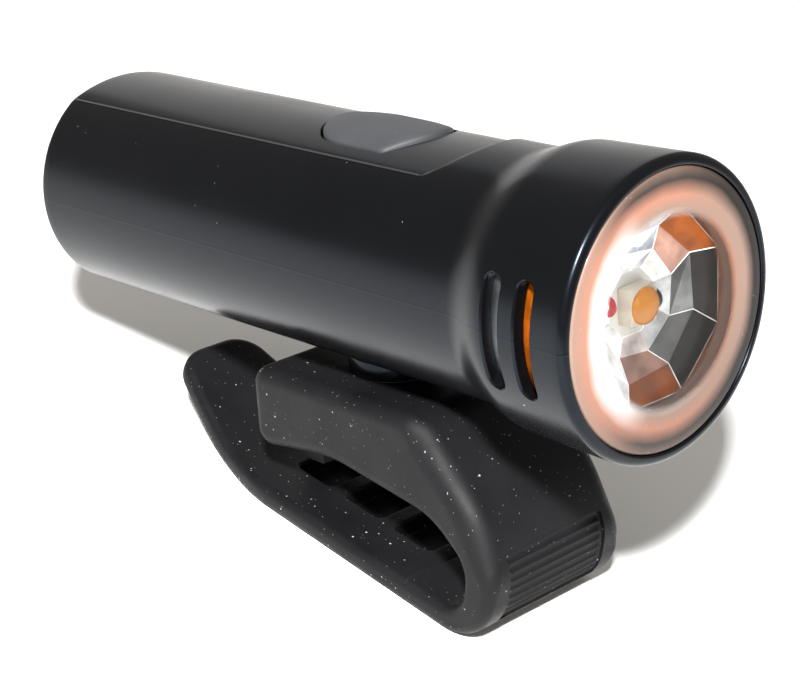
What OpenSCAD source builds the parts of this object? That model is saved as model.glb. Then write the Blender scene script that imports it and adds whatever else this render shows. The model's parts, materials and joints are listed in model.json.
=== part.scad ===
// Bicycle headlight on a rubber handlebar strap, resting on the strap with its nose up.
// The pieces are drawn in the lamp's own frame: X runs forward along the lamp's axis from the
// tail, Z is up and Y is to the left. stand() then sets the whole lamp on the table.

/* [Body] */
// Length from the tail to the front rim
body_len = 104.5; // [103:0.5:112]
// Outside diameter of the tube
tube_d = 32.5; // [32:0.1:33.5]
// Wall of the tube
tube_wall = 2.3; // [2:0.1:2.6]
// Outside diameter of the head at the front rim
head_d = 37; // [36.8:0.1:38]
// Outside diameter of the head where the neck's flare ends
head_back_d = 36.3; // [36:0.1:36.8]
// Where the flare of the neck starts, behind the front rim
neck_back = 20.5; // [20:0.1:22]
// Length of the flare
neck_len = 7.5; // [6:0.1:9]
// Edge radius of the front rim
rim_round = 1; // [0.6:0.1:1.2]
// Edge radius of the tail
tail_round = 0.8; // [0.4:0.1:0.85]

/* [Deck and button] */
// Drop of the deck's crown below the tube's top
deck_drop = 0.9; // [0.8:0.05:1.1]
// Radius of the deck's crown
deck_crown_r = 22.7; // [21:0.1:26]
// Distance from the tail to the deck's front tip
deck_len = 77.5; // [74:0.5:80]
// How far the deck's front corners lie behind its tip
deck_arch = 3.8; // [2:0.1:5]
// Distance from the tail to the middle of the button's round rear end
button_x = 55.5; // [53:0.5:58]
// Radius of the button's round rear end
button_rear_r = 6.7; // [6.3:0.1:7]
// Distance from the rear end's middle to the button's front tip
button_reach = 11.6; // [11:0.1:12.5]
// How far the button's front corners lie behind its tip
button_arch = 3.2; // [2:0.1:4]
// Height of the button above the deck
button_proud = 1.25; // [0.9:0.05:1.4]
// Gap round the button
button_gap = 0.25; // [0.2:0.05:0.4]
// Travel of the button
button_travel = 0.5; // [0.3:0.05:0.6]

/* [Side slots] */
// Distance from the front rim to the middle of the front slot
slot_back = 6.4; // [5.5:0.1:6.8]
// Spacing of the two slots
slot_pitch = 5.2; // [4.5:0.1:6]
// Width of a slot
slot_w = 2.4; // [2:0.1:3]
// Half of the angle that a slot takes up round the head
slot_half_angle = 18; // [15:1:30]

/* [Lens and light] */
// Diameter of the lens
lens_d = 34; // [33.6:0.1:34.2]
// Thickness of the lens
lens_t = 2.5; // [2:0.1:3]
// Depth of the lens behind the rim
lens_recess = 0.4; // [0.2:0.1:0.8]
// Edge radius of the lens
lens_round = 0.8; // [0.3:0.1:1.2]
// Thickness of the lens gasket
seal_t = 0.5; // [0.4:0.1:0.8]
// Width of the lens gasket and of the ledge that it lies on
seal_w = 0.5; // [0.3:0.05:0.6]
// Least wall of the rim round the lens
rim_wall = 1.1; // [0.8:0.05:1.2]
// Least wall of the head round the amber ring
head_wall = 1.1; // [0.8:0.05:1.2]
// Radius of the space for the amber ring
cavity_r = 16.5; // [16.4:0.05:16.6]
// Inside radius of the amber ring
amber_inner_r = 12.7; // [12.5:0.1:13.2]
// Radius of the reflector's mouth
reflector_r = 11.5; // [11:0.1:11.7]
// Radius of the hole in the reflector's floor
reflector_hole_r = 5; // [4.9:0.1:5.2]
// Number of petals of the reflector
petals = 8; // [6:1:10]
// Distance from the lens back to the LED board
optic_depth = 4.1; // [4:0.1:5]
// Side of the square LED package
led_side = 5; // [4:0.1:5]
// Height of the LED package
led_h = 0.7; // [0.5:0.1:0.9]
// Radius of the LED dome
led_dome_r = 2.3; // [1.8:0.1:2.4]
// Radius of the LED board
led_board_r = 10.6; // [10.5:0.1:11]
// Thickness of the LED board
led_board_t = 1.6; // [1:0.1:2]
// Diameter of a lead
lead_d = 0.9; // [0.7:0.1:1]
// Distance of the leads from the axis
lead_r = 4.35; // [4.2:0.05:4.4]

/* [Heat sink] */
// Height of the post that lifts the LED board off the flange
sink_post_h = 2.9; // [2:0.1:3.5]
// Thickness of the flange
sink_flange_t = 2.4; // [2:0.1:3]
// Length of the slug behind the flange
sink_slug_len = 6.6; // [5:0.1:7]

/* [Power] */
// Diameter of the cell
cell_d = 18.4; // [18:0.1:18.6]
// Length of the cell
cell_len = 65.2; // [64.8:0.1:65.6]
// Distance from the tail to the cell
cell_x = 14; // [14:0.1:14.5]
// Height of the cell's axis below the lamp's axis
cell_drop = 2.4; // [2.2:0.1:2.5]
// Thickness of a cell frame
holder_t = 4; // [3:0.5:6]
// Width of the driver board
driver_w = 17; // [15:0.5:17]
// Thickness of the circuit boards
pcb_t = 1.2; // [1:0.1:1.2]
// Height of the driver board's underside above the axis
driver_z = 9.6; // [9.4:0.1:9.6]
// Width of the switch body
switch_w = 6; // [5:0.5:7]
// Height of the switch body
switch_h = 1.4; // [1.2:0.1:1.4]
// Radius of the switch plunger
plunger_r = 1.6; // [1.2:0.1:2]

/* [Tail] */
// Thickness of the tail cap
cap_t = 4.5; // [4.2:0.1:5]
// Section diameter of the tail seal
tail_seal_d = 1.3; // [1:0.1:1.5]
// Width of the charging socket
port_w = 7.5; // [7:0.1:8]
// Height of the charging socket
port_h = 2.6; // [2.4:0.1:3]
// Length of the charging socket
port_len = 5.6; // [5:0.1:6]
// Width of the flap
flap_w = 15; // [14:0.5:16]
// Height of the flap from its hinge to its free edge
flap_h = 11; // [10:0.5:12]
// Thickness of the flap
flap_t = 1.8; // [1.6:0.1:2]
// Height of the flap's hinge below the axis
flap_drop = 6; // [5.5:0.1:6.5]
// Radius of the flap's hinge pins
flap_pin_r = 0.8; // [0.6:0.05:0.85]
// Distance of the tail screws from the axis
tail_screw_r = 10.4; // [10.2:0.1:10.6]

/* [Swivel] */
// Distance from the tail to the swivel
pivot_x = 57; // [56:0.5:60]
// Radius of the housing's foot
foot_r = 6.5; // [6:0.1:7]
// How far the foot stands below the tube
foot_h = 1.35; // [1:0.05:1.6]
// Radius of the screw's shoulder
shoulder_r = 2.5; // [2.2:0.05:2.6]
// Radius of the screw's thread
thread_r = 1.95; // [1.5:0.05:2]
// Radius of the screw's head
screw_head_r = 4.2; // [3.8:0.1:4.5]
// Height of the screw's head
screw_head_h = 2.2; // [1.8:0.1:2.6]
// Outside radius of the brass insert
insert_r = 2.8; // [2.6:0.05:3]
// Length of the brass insert
insert_len = 4.6; // [4:0.1:4.7]
// Thickness of a washer
washer_t = 0.6; // [0.4:0.1:0.8]
// Thickness of the nylon core
core_t = 4.2; // [3.5:0.1:5]
// Length of the nylon core
core_len = 25; // [22:0.5:26]
// Width of the nylon core
core_w = 18; // [16:0.5:19]

/* [Strap] */
// Width of the strap
strap_w = 25; // [22:0.5:28]
// Distance from the tail to the block's rear end
block_x = 40.5; // [40:0.1:41]
// Length of the block's flat top
block_len = 32; // [31:0.5:33]
// Height of the block at its rear end
block_h = 12; // [11.8:0.1:12.6]
// Distance from the tail to the strap's bend
bend_x = 77.3; // [76.5:0.1:78]
// Depth of the bend's middle below the axis
bend_drop = 37.9; // [37.5:0.1:38.5]
// Outside radius of the bend
bend_r = 7.9; // [7.6:0.1:8]
// Inside radius of the bend
bend_inner_r = 3.7; // [3.4:0.1:3.9]
// Thickness of the band
band_t = 3.2; // [2.8:0.1:3.4]
// Radius of the band's rolled end at the bend
bead_r = 1.75; // [1.7:0.05:1.85]
// Length of the band's straight run
band_len = 41; // [39.5:0.5:43]
// Radius of the band's underside where it curls up
curl_r = 34; // [28:0.5:40]
// Angle of the curl
curl_angle = 24; // [18:1:30]
// Length of the pull tab beyond the curl
pull_len = 11; // [8:0.5:13]
// Distance from the rolled end to where the pull tab starts to narrow
pull_start = 38.5; // [36:0.5:42]
// Width of the pull tab at its end
pull_w = 12.8; // [11:0.2:16]
// Corner radius of the pull tab
pull_round = 5.2; // [4:0.1:5.4]
// Number of slots in the band
hole_count = 3; // [1:1:3]
// Distance from the rolled end to the first slot
hole_first = 14.7; // [14:0.1:16]
// Spacing of the slots
hole_pitch = 9.9; // [9:0.1:11]
// Length of a slot along the band
hole_len = 7.2; // [6:0.1:8]
// Width of a slot across the band
hole_w = 9.6; // [9:0.1:14]
// Number of grip grooves on the bend
grooves = 8; // [0:1:9]
// Length of a grip groove
groove_len = 17.5; // [12:0.5:20]
// Radius of a grip groove
groove_r = 0.4; // [0.2:0.05:0.5]
// Angle between two grip grooves
groove_step = 9.5; // [8:0.5:10]
// Slope of the band to the lamp's axis, which the lamp's nose rises by when the band lies flat
rest_tilt = 11.2; // [10:0.1:12]

/* [Clearances] */
// Gap between a seated piece and its seat
seat_gap = 0.1; // [0.05:0.01:0.1]
// Gap between a turning or sliding piece and its bearing
run_gap = 0.05; // [0.03:0.01:0.1]
// Gap between pieces that pass each other
pass_gap = 0.3; // [0.25:0.05:0.4]

/* [Hidden] */

// Smoothness of round faces, and of the arcs in outlines
$fn = 96;
arc_steps = 8;
// Overlap of cutting solids past the faces they cut
cut = 1;

// Radii of the body
tube_r = tube_d / 2;
bore_r = tube_r - tube_wall;
head_r = head_d / 2;
head_back_r = head_back_d / 2;
crown_top = tube_r - deck_drop;
crown_z = crown_top - deck_crown_r;
neck_x = body_len - neck_back;
neck_steps = 14;
deck_side = 12.5;
deck_corner = 9.3;
slot_round = slot_w / 2 - 0.05;

// Stations along the axis, from the front rim to the heat sink
lens_r = lens_d / 2;
lens_front = body_len - lens_recess;
lens_back = lens_front - lens_t;
ledge_x = lens_back - seal_t;
ledge_t = 0.8;
ledge_back = ledge_x - ledge_t;
ledge_r = lens_r - seal_w;
board_front = lens_back - optic_depth;
board_back = board_front - led_board_t;
flange_front = board_back - sink_post_h;
shoulder_x = flange_front - sink_flange_t;
sink_back = shoulder_x - sink_slug_len;
ring_front = lens_back - 2 * seat_gap;
slot_x = body_len - slot_back;

// Reflector: its wall, the step between its two rows of facets and the foot on the board
reflector_wall = 0.9;
reflector_front = lens_back - pass_gap;
reflector_mid_r = 8.4;
reflector_mid = 1.3;
reflector_lip = 0.8;

// Board screws
board_screw_r = 9;
board_screw_head_r = 1.3;
board_screw_head_h = 0.6;
board_screw_shank_r = 0.8;
board_screw_len = 4;

// Leads: the loop at the board, the angle round the axis and the turn up to the driver board
lead_loop_r = 0.9;
lead_turn_r = 1.2;
lead_tilt = 20;
lead_rise_set = 1.6;
lead_rise_x = sink_back - lead_rise_set;

// Driver board and what it carries
driver_top = driver_z + pcb_t;
link_set = 7;
link_x = cap_t + link_set;
link_t = 0.4;
link_w = 6;
driver_x = link_x - 1;
driver_end = lead_rise_x + 1;
switch_set = 2.5;
switch_x = button_x + switch_set;
switch_floor = 0.3;
plunger_gap = 0.1;
status_set = 5.5;
status_x = switch_x - status_set;
status_size = [1.6, 0.8, 0.6];

// Button: its underside, its pillow top and its retaining tongues
button_under = driver_top + switch_h + 0.7;
button_tip = button_x + button_reach;
pillow_r = 12.8;
pillow_long_r = 61;
tongue_w = 6;
tongue_len = 1.4;
tongue_t = 0.9;
tongue_root = 3;

// Cell, its tabs and frames
cell_r = cell_d / 2;
cell_end = cell_x + cell_len;
tab_t = 0.2;
tab_w = 6;
holder_set = 3;
holder_front_x = cell_end - holder_t - holder_set;
holder_rear_x = cell_x;

// Tail
cap_r = bore_r - run_gap;
seal_set = 1.5;
seal_x = cap_t - seal_set;
post_r = 2.2;
post_x = cap_t;
tail_screw_head_r = 2;
tail_screw_head_h = 1.4;
tail_screw_shank_r = 1.1;
tail_screw_len = 9;
charge_board_w = 13;
charge_board_end = link_x + link_t + 0.6;
port_x = 3;
port_margin_w = 2.4;
port_margin_h = 1.8;
port_mouth_w = port_w + port_margin_w;
port_mouth_h = port_h + port_margin_h;
port_wall = 0.35;
flap_axis_x = 1.1;
flap_pin_len = 1.3;
flap_pocket = flap_axis_x + flap_t / 2 + pass_gap;
flap_plug_t = 0.6;

// Swivel, from the foot's face down
foot_sunk = 1.6;
foot_z = -tube_r - foot_h;
core_top = foot_z - washer_t;
core_bottom = core_top - core_t;
head_top = core_bottom - washer_t;
insert_top = foot_z + insert_len;
inner_boss_r = insert_r + 1.4;
inner_boss_top = insert_top + 0.6;
thread_len = insert_len - 0.4;
hex_r = 1.5;
block_top = foot_z - 0.05;
hook_x = block_x + 1.5;
hook_t = 2.4;
hook_w = 7.2;
hook_barb = 1.6;
hook_drop = 4.6;

// Strap: the bend, the rolled end and the block
bead_x = bend_x - 0.3;
band_under = bead_r + 0.05;
bead_z = -bend_drop - bend_r + band_under;
loop_x = bend_x - 0.9;
loop_z = -bend_drop - 0.7;
block_bottom = block_top - block_h;
wall_top_x = block_x + block_len;
lip_x = bead_x + 1.5;
band_top = band_t - band_under;
bead_neck = 0.6;
curl_steps = 20;
flank_round = 16;
// Reach of the pull tab along the band, and its rise with a spare beyond that reach
pull_spare = 2;
pull_reach = band_len + curl_r * sin(curl_angle) + pull_len * cos(curl_angle);
pull_rise = curl_r - (curl_r - band_t) * cos(curl_angle) + (pull_len + pull_spare) * sin(curl_angle);
flank_slope = (strap_w - pull_w) / 2 / (pull_reach - pull_start);
flank_x = pull_start - cut / flank_slope;

// Side view of the rubber block: corner radii, then where its points lie from the bend and the block
heel_round = 2.5;
sole_round = 1.5;
wall_round = 5;
wall_bow = 20;
knee_round = 6.5;
under_round = 12;
wall_back = 2.2;
wall_rise = 9;
knee_out = 0.4;
knee_rise = 1.2;
toe_back = 1;
toe_drop = 3;
under_back = 24;
under_rise = 0.4;

// Side view of the space between block and band: corner radii, then where its points lie
crown_round = 24;
brow_round = 12;
cheek_round = 4;
chin_round = 2;
loop_rear = 5;
sole_len = 3;
sole_rise = 0.3;
crown_back = 14.5;
crown_rise = 2;
brow_back = 34;
brow_drop = 1.2;
cheek_out = 0.6;
cheek_rise = 3;
chin_in = 0.2;
chin_drop = 1;
mouth_drop = 1.5;
groove_start = 25;

// Where the lamp stands: the band lies flat on the table and the box's middle is over the origin
front_reach = (body_len - rim_round) * cos(rest_tilt) + (head_r - rim_round) * sin(rest_tilt) + rim_round;
tail_reach = -crown_top * sin(rest_tilt);
stand_x = -(front_reach + tail_reach) / 2;
stand_z = band_under - bead_x * sin(rest_tilt) - bead_z * cos(rest_tilt);

module stand() {
    translate([stand_x, 0, stand_z]) rotate([0, -rest_tilt, 0]) children();
}

// Points of the arc that rounds the corner b between a and c
function corner_arc(a, b, c, r) =
    let (to_a = (a - b) / norm(a - b), to_c = (c - b) / norm(c - b))
    let (half = acos(to_a * to_c) / 2)
    let (mid = b + (to_a + to_c) / norm(to_a + to_c) * r / sin(half))
    let (first = b + to_a * r / tan(half) - mid, last = b + to_c * r / tan(half) - mid)
    let (start = atan2(first[1], first[0]), raw = atan2(last[1], last[0]) - start)
    let (sweep = raw > 180 ? raw - 360 : raw < -180 ? raw + 360 : raw)
    [for (i = [0:arc_steps])
        let (turn = start + sweep * i / arc_steps)
        mid + r * [cos(turn), sin(turn)]];

// Outline of [x, y, corner radius] points
function rounded(p) =
    [for (i = [0:len(p) - 1])
        let (a = p[(i + len(p) - 1) % len(p)], b = p[i], c = p[(i + 1) % len(p)])
        each b[2] > 0 ? corner_arc([a[0], a[1]], [b[0], b[1]], [c[0], c[1]], b[2]) : [[b[0], b[1]]]];

// Round bar along X between two stations
module bar(x0, x1, r) {
    translate([x0, 0, 0]) rotate([0, 90, 0]) cylinder(h = x1 - x0, r = r);
}

// Solid of revolution about the lamp's axis from [radius, station] points
module lathe(points) {
    rotate([0, 90, 0]) rotate_extrude() polygon(points);
}

// Plate of an XZ outline, centred across the lamp
module across(width, outline) {
    rotate([90, 0, 0]) linear_extrude(width, center = true) polygon(outline);
}

// Round bar across the lamp
module cross_bar(x, z, width, r) {
    translate([x, 0, z]) rotate([90, 0, 0]) cylinder(h = width, r = r, center = true);
}

// Block between two corners
module box(low, high) {
    translate(low) cube(high - low);
}

// Body of the housing: smooth flare of the neck, then the head's slight taper to the rounded rim
function flare(s) = tube_r + (head_back_r - tube_r) * s * s * (3 - 2 * s);
neck_points = [for (i = [0:neck_steps]) [flare(i / neck_steps), neck_x + neck_len * i / neck_steps]];
rim_points = [for (a = [0:15:90]) [head_r - rim_round * (1 - cos(a)), body_len - rim_round * (1 - sin(a))]];
tail_points = [for (a = [0:15:90]) [tube_r - tail_round * (1 - sin(a)), tail_round * (1 - cos(a))]];
housing_points = concat(
    [[0, 0]], tail_points, neck_points, rim_points, [[0, body_len]]);

module deck_cut() {
    corner_x = deck_len - deck_arch;
    plan = rounded([[-cut, -deck_side, 0], [corner_x - deck_arch, -deck_side, 0], [corner_x, -deck_corner, 3],
                    [deck_len, 0, 12], [corner_x, deck_corner, 3], [corner_x - deck_arch, deck_side, 0],
                    [-cut, deck_side, 0]]);
    difference() {
        translate([0, 0, crown_z + deck_crown_r / 2]) linear_extrude(deck_crown_r) polygon(plan);
        translate([-2 * cut, 0, crown_z]) bar(0, deck_len + 4 * cut, deck_crown_r);
    }
}

// Button's plan, grown by a gap for its hole
module button_plan(gap) {
    side = button_rear_r - 0.4;
    front_x = button_tip - button_arch;
    arch_r = (side * side + button_arch * button_arch) / (2 * button_arch);
    translate([button_x, 0, 0]) circle(button_rear_r + gap);
    intersection() {
        translate([button_x, -side - gap]) square([button_reach + gap, 2 * (side + gap)]);
        translate([button_tip - arch_r, 0]) circle(arch_r + gap);
    }
}

// One window of the head with round ends, open from the cavity to the outside
module side_slot(x, side) {
    half_h = head_r * sin(slot_half_angle) + slot_w / 2;
    half_w = slot_w / 2;
    outline = rounded([[x - half_w, -half_h, slot_round], [x + half_w, -half_h, slot_round],
                       [x + half_w, half_h, slot_round], [x - half_w, half_h, slot_round]]);
    translate([0, side * cavity_r, 0]) across(cavity_r, outline);
}

module housing() {
    foot_root = -tube_r + foot_sunk;
    color("#141416") difference() {
        union() {
            difference() {
                union() {
                    lathe(housing_points);
                    bar(shoulder_x - head_wall, ledge_back, cavity_r + head_wall);
                    bar(ledge_back - rim_wall, lens_front, lens_r + seat_gap + rim_wall);
                }
                deck_cut();
                bar(-cut, body_len + cut, bore_r);
                bar(shoulder_x, ledge_back, cavity_r);
                bar(ledge_back - run_gap, body_len + cut, ledge_r);
                bar(ledge_x, body_len + cut, lens_r + seat_gap);
                translate([0, 0, button_under - cut]) linear_extrude(tube_r) button_plan(button_gap);
                for (side = [-1, 1])
                    for (x = [slot_x, slot_x - slot_pitch])
                        side_slot(x, side);
            }
            translate([pivot_x, 0, foot_z]) cylinder(h = foot_root - foot_z, r = foot_r);
            translate([pivot_x, 0, foot_z]) cylinder(h = inner_boss_top - foot_z, r = inner_boss_r);
        }
        translate([pivot_x, 0, foot_z - cut]) cylinder(h = insert_len + cut, r = insert_r);
    }
}

module lens() {
    round_points = [for (a = [0:15:90])
        [lens_r - lens_round * (1 - cos(a)), lens_front - lens_round * (1 - sin(a))]];
    color("#e9d6c8") lathe(concat([[0, lens_back], [lens_r, lens_back]], round_points, [[0, lens_front]]));
}

module lens_seal() {
    color("#2a2a2a") difference() {
        bar(ledge_x, lens_back, lens_r);
        bar(ledge_x - cut, lens_back + cut, ledge_r);
    }
}

// The ring fills the cavity, and its nose stays clear of the lens ledge and the gasket
module amber_ring() {
    ring_r = cavity_r - pass_gap;
    nose_x = ledge_back - pass_gap;
    bevel = 1.2;
    color("#e07818") difference() {
        lathe([[amber_inner_r, flange_front], [ring_r, flange_front], [ring_r, ring_front],
               [amber_inner_r + bevel, ring_front], [amber_inner_r, ring_front - bevel]]);
        difference() {
            bar(nose_x, ring_front + cut, cavity_r + cut);
            bar(nose_x - cut, ring_front + 2 * cut, ledge_r - run_gap);
        }
    }
}

module reflector() {
    depth = reflector_front - board_front;
    outer_r = reflector_r + reflector_lip;
    foot = reflector_hole_r + reflector_wall;
    color("#d8dade") difference() {
        lathe([[0, board_front], [foot, board_front], [outer_r, reflector_front - reflector_wall],
               [outer_r, reflector_front], [0, reflector_front]]);
        bar(board_front - cut, reflector_front + cut, reflector_hole_r);
        translate([board_front + 0.2, 0, 0]) rotate([0, 90, 0])
            cylinder(h = reflector_mid, r1 = reflector_hole_r, r2 = reflector_mid_r, $fn = petals);
        translate([board_front + 0.2 + reflector_mid, 0, 0]) rotate([0, 90, 0])
            cylinder(h = depth, r1 = reflector_mid_r, r2 = reflector_r + 1.2, $fn = petals);
    }
}

module led_emitter() {
    half = led_side / 2;
    color("#f09a20") union() {
        box([board_front, -half, -half], [board_front + led_h, half, half]);
        lathe([for (a = [0:10:90]) led_dome_r * [cos(a), sin(a)] + [0, board_front + led_h],
               each [[0, board_front + led_h]]]);
    }
}

// Holes for the two leads, through the board and the heat sink
module lead_holes() {
    for (side = [-1, 1])
        translate([0, side * lead_r * cos(lead_tilt), -side * lead_r * sin(lead_tilt)])
            bar(sink_back - cut, board_front + cut, lead_d / 2 + seat_gap);
}

module led_board() {
    color("#f0f0ea") difference() {
        bar(board_back, board_front, led_board_r);
        lead_holes();
        for (side = [-1, 1])
            translate([0, 0, side * board_screw_r])
                bar(board_back - cut, board_front + cut, board_screw_shank_r + seat_gap);
    }
}

module board_screws() {
    color("#b0b4b8") for (side = [-1, 1])
        translate([0, 0, side * board_screw_r]) {
            bar(board_front, board_front + board_screw_head_h, board_screw_head_r);
            bar(board_front - board_screw_len, board_front, board_screw_shank_r);
        }
}

// Bend of a lead in the XZ plane, from an angle counted from +Z towards +X
module lead_bend(x, y, z, r, start, sweep) {
    translate([x, y, z]) rotate([-90, -90, 0]) rotate([0, 0, start])
        rotate_extrude(angle = sweep, $fn = 32) translate([r, 0]) circle(lead_d / 2, $fn = 32);
}

// A lead: a small loop onto the board, a straight run through the heat sink, then up to the driver board
module lead(side) {
    y = lead_r * cos(lead_tilt);
    z = -lead_r * sin(lead_tilt);
    rise_z = side * z + lead_turn_r;
    rotate([side > 0 ? 0 : 180, 0, 0]) {
        lead_bend(board_front, y, z + lead_loop_r, lead_loop_r, 0, 180);
        translate([0, y, z]) bar(lead_rise_x + lead_turn_r, board_front, lead_d / 2);
    }
    lead_bend(lead_rise_x + lead_turn_r, side * y, rise_z, lead_turn_r, 180, 90);
    translate([lead_rise_x, side * y, rise_z]) cylinder(h = driver_z - rise_z, r = lead_d / 2);
}

module led_lead_red() {
    color("#c03038") lead(-1);
}

module led_lead_black() {
    color("#202020") lead(1);
}

module heat_sink() {
    color("#9aa0a6") difference() {
        union() {
            bar(sink_back, shoulder_x, bore_r - seat_gap);
            bar(shoulder_x, flange_front, cavity_r - seat_gap);
            bar(flange_front, board_back, led_board_r);
        }
        lead_holes();
        for (side = [-1, 1])
            translate([0, 0, side * board_screw_r])
                bar(board_front - board_screw_len, board_front, board_screw_shank_r + run_gap);
    }
}

module driver_board() {
    color("#1d6b3a") box([driver_x, -driver_w / 2, driver_z], [driver_end, driver_w / 2, driver_top]);
}

module tact_switch() {
    half = switch_w / 2;
    color("#3a3c40") difference() {
        box([switch_x - half, -half, driver_top], [switch_x + half, half, driver_top + switch_h]);
        translate([switch_x, 0, driver_top + switch_floor]) cylinder(h = switch_h, r = plunger_r + run_gap);
    }
}

module switch_plunger() {
    low = driver_top + switch_floor + button_travel + plunger_gap / 2;
    high = button_under - plunger_gap;
    color("#e8e8e0") translate([switch_x, 0, low]) cylinder(h = high - low, r = plunger_r);
}

module status_led() {
    half = status_size / 2;
    color("#e0f0e0") box([status_x - half[0], -half[1], driver_top],
                         [status_x + half[0], half[1], driver_top + status_size[2]]);
}

module button() {
    top = crown_top + button_proud;
    mid = (button_x - button_rear_r + button_tip) / 2;
    tongue_top = sqrt(bore_r * bore_r - tongue_w * tongue_w / 4) - pass_gap;
    color("#4a4c50") {
        intersection() {
            translate([0, 0, button_under]) linear_extrude(tube_r) button_plan(0);
            translate([0, 0, top - pillow_r]) bar(0, body_len, pillow_r);
            cross_bar(mid, top - pillow_long_r, tube_d, pillow_long_r);
        }
        box([button_x - button_rear_r - tongue_len, -tongue_w / 2, tongue_top - tongue_t],
            [button_x - button_rear_r + tongue_root, tongue_w / 2, tongue_top]);
        box([button_tip - tongue_root, -tongue_w / 2, tongue_top - tongue_t],
            [button_tip + tongue_len, tongue_w / 2, tongue_top]);
    }
}

module battery_cell() {
    color("#3f7fb5") translate([0, 0, -cell_drop]) bar(cell_x, cell_end, cell_r);
}

module cell_tab_front() {
    color("#c8ccd0") box([cell_end, -tab_w / 2, -cell_drop - tab_w / 2],
                         [cell_end + tab_t, tab_w / 2, driver_z]);
}

module cell_tab_rear() {
    color("#c8ccd0") box([cell_x - tab_t, -tab_w / 2, -cell_drop - tab_w / 2], [cell_x, tab_w / 2, driver_z]);
}

// Frame that fills the bore, with a seat for the cell and a flat top for the driver board
module cell_frame(x) {
    difference() {
        bar(x, x + holder_t, bore_r - seat_gap);
        translate([0, 0, -cell_drop]) bar(x - cut, x + holder_t + cut, cell_r + run_gap);
        box([x - cut, -bore_r, driver_z], [x + holder_t + cut, bore_r, bore_r]);
    }
}

module cell_holder_front() {
    color("#d8d4c4") cell_frame(holder_front_x);
}

module cell_holder_rear() {
    color("#d8d4c4") difference() {
        union() {
            cell_frame(holder_rear_x);
            for (side = [-1, 1])
                translate([0, side * tail_screw_r, 0]) bar(post_x, holder_rear_x, post_r);
        }
        for (side = [-1, 1])
            translate([0, side * tail_screw_r, 0])
                bar(post_x - cut, tail_screw_head_h + tail_screw_len, tail_screw_shank_r + run_gap);
    }
}

module board_link() {
    color("#c07a20") box([link_x, -link_w / 2, -port_h / 2], [link_x + link_t, link_w / 2, driver_z]);
}

module charge_board() {
    color("#1d6b3a") box([cap_t, -charge_board_w / 2, -port_h / 2 - pcb_t],
                         [charge_board_end, charge_board_w / 2, -port_h / 2]);
}

module charge_port() {
    half_w = port_w / 2;
    half_h = port_h / 2;
    color("#c8ccd0") difference() {
        box([port_x, -half_w, -half_h], [port_x + port_len, half_w, half_h]);
        box([port_x - cut, -half_w + port_wall, -half_h + port_wall],
            [port_x + port_len - port_wall, half_w - port_wall, half_h - port_wall]);
    }
}

module tail_cap() {
    half_w = flap_w / 2;
    seal_r = cap_r - tail_seal_d;
    color("#17171a") difference() {
        bar(0, cap_t, cap_r);
        difference() {
            bar(seal_x - tail_seal_d / 2 - run_gap, seal_x + tail_seal_d / 2 + run_gap, cap_r + cut);
            bar(0, cap_t, seal_r);
        }
        box([-cut, -half_w - pass_gap, -flap_drop - flap_axis_x - pass_gap],
            [flap_pocket, half_w + pass_gap, flap_h - flap_drop + pass_gap]);
        cross_bar(flap_axis_x, -flap_drop, flap_w + 2 * flap_pin_len + 2 * pass_gap, flap_pin_r + run_gap);
        box([0, -port_mouth_w / 2, -port_mouth_h / 2], [port_x, port_mouth_w / 2, port_mouth_h / 2]);
        box([0, -port_w / 2 - seat_gap, -port_h / 2 - seat_gap],
            [cap_t + cut, port_w / 2 + seat_gap, port_h / 2 + seat_gap]);
        for (side = [-1, 1])
            translate([0, side * tail_screw_r, 0]) {
                bar(-cut, cap_t + cut, tail_screw_shank_r + seat_gap);
                bar(-cut, tail_screw_head_h, tail_screw_head_r + seat_gap);
            }
    }
}

module tail_seal() {
    color("#8a2a20") translate([seal_x, 0, 0]) rotate([0, 90, 0])
        rotate_extrude() translate([cap_r - tail_seal_d / 2, 0]) circle(d = tail_seal_d);
}

module tail_screws() {
    color("#b0b4b8") for (side = [-1, 1])
        translate([0, side * tail_screw_r, 0]) difference() {
            union() {
                bar(0, tail_screw_head_h, tail_screw_head_r);
                bar(tail_screw_head_h, tail_screw_head_h + tail_screw_len, tail_screw_shank_r);
            }
            bar(-cut, tail_screw_head_h / 2, tail_screw_head_r / 2);
        }
}

module port_cover() {
    half_w = flap_w / 2;
    plug_w = port_mouth_w / 2 - pass_gap;
    plug_h = port_mouth_h / 2 - pass_gap;
    color("#26262a") {
        box([flap_axis_x - flap_t / 2, -half_w, -flap_drop],
            [flap_axis_x + flap_t / 2, half_w, flap_h - flap_drop]);
        cross_bar(flap_axis_x, -flap_drop, flap_w, flap_t / 2);
        cross_bar(flap_axis_x, -flap_drop, flap_w + 2 * flap_pin_len, flap_pin_r);
        box([flap_axis_x, -plug_w, -plug_h], [flap_axis_x + flap_t / 2 + flap_plug_t, plug_w, plug_h]);
    }
}

module threaded_insert() {
    color("#c9a24a") translate([pivot_x, 0, foot_z]) difference() {
        cylinder(h = insert_len, r = insert_r);
        translate([0, 0, -cut]) cylinder(h = insert_len + 2 * cut, r = thread_r + run_gap);
    }
}

module pivot_screw() {
    color("#a8acb0") translate([pivot_x, 0, 0]) difference() {
        union() {
            translate([0, 0, foot_z]) cylinder(h = thread_len, r = thread_r);
            translate([0, 0, head_top]) cylinder(h = foot_z - head_top, r = shoulder_r);
            translate([0, 0, head_top - screw_head_h]) cylinder(h = screw_head_h, r = screw_head_r);
        }
        translate([0, 0, head_top - screw_head_h - cut])
            cylinder(h = screw_head_h / 2 + cut, r = hex_r, $fn = 6);
    }
}

// Flat ring round the swivel
module swivel_ring(z, r) {
    translate([pivot_x, 0, z]) difference() {
        cylinder(h = washer_t, r = r);
        translate([0, 0, -cut]) cylinder(h = washer_t + 2 * cut, r = shoulder_r + run_gap);
    }
}

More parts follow.
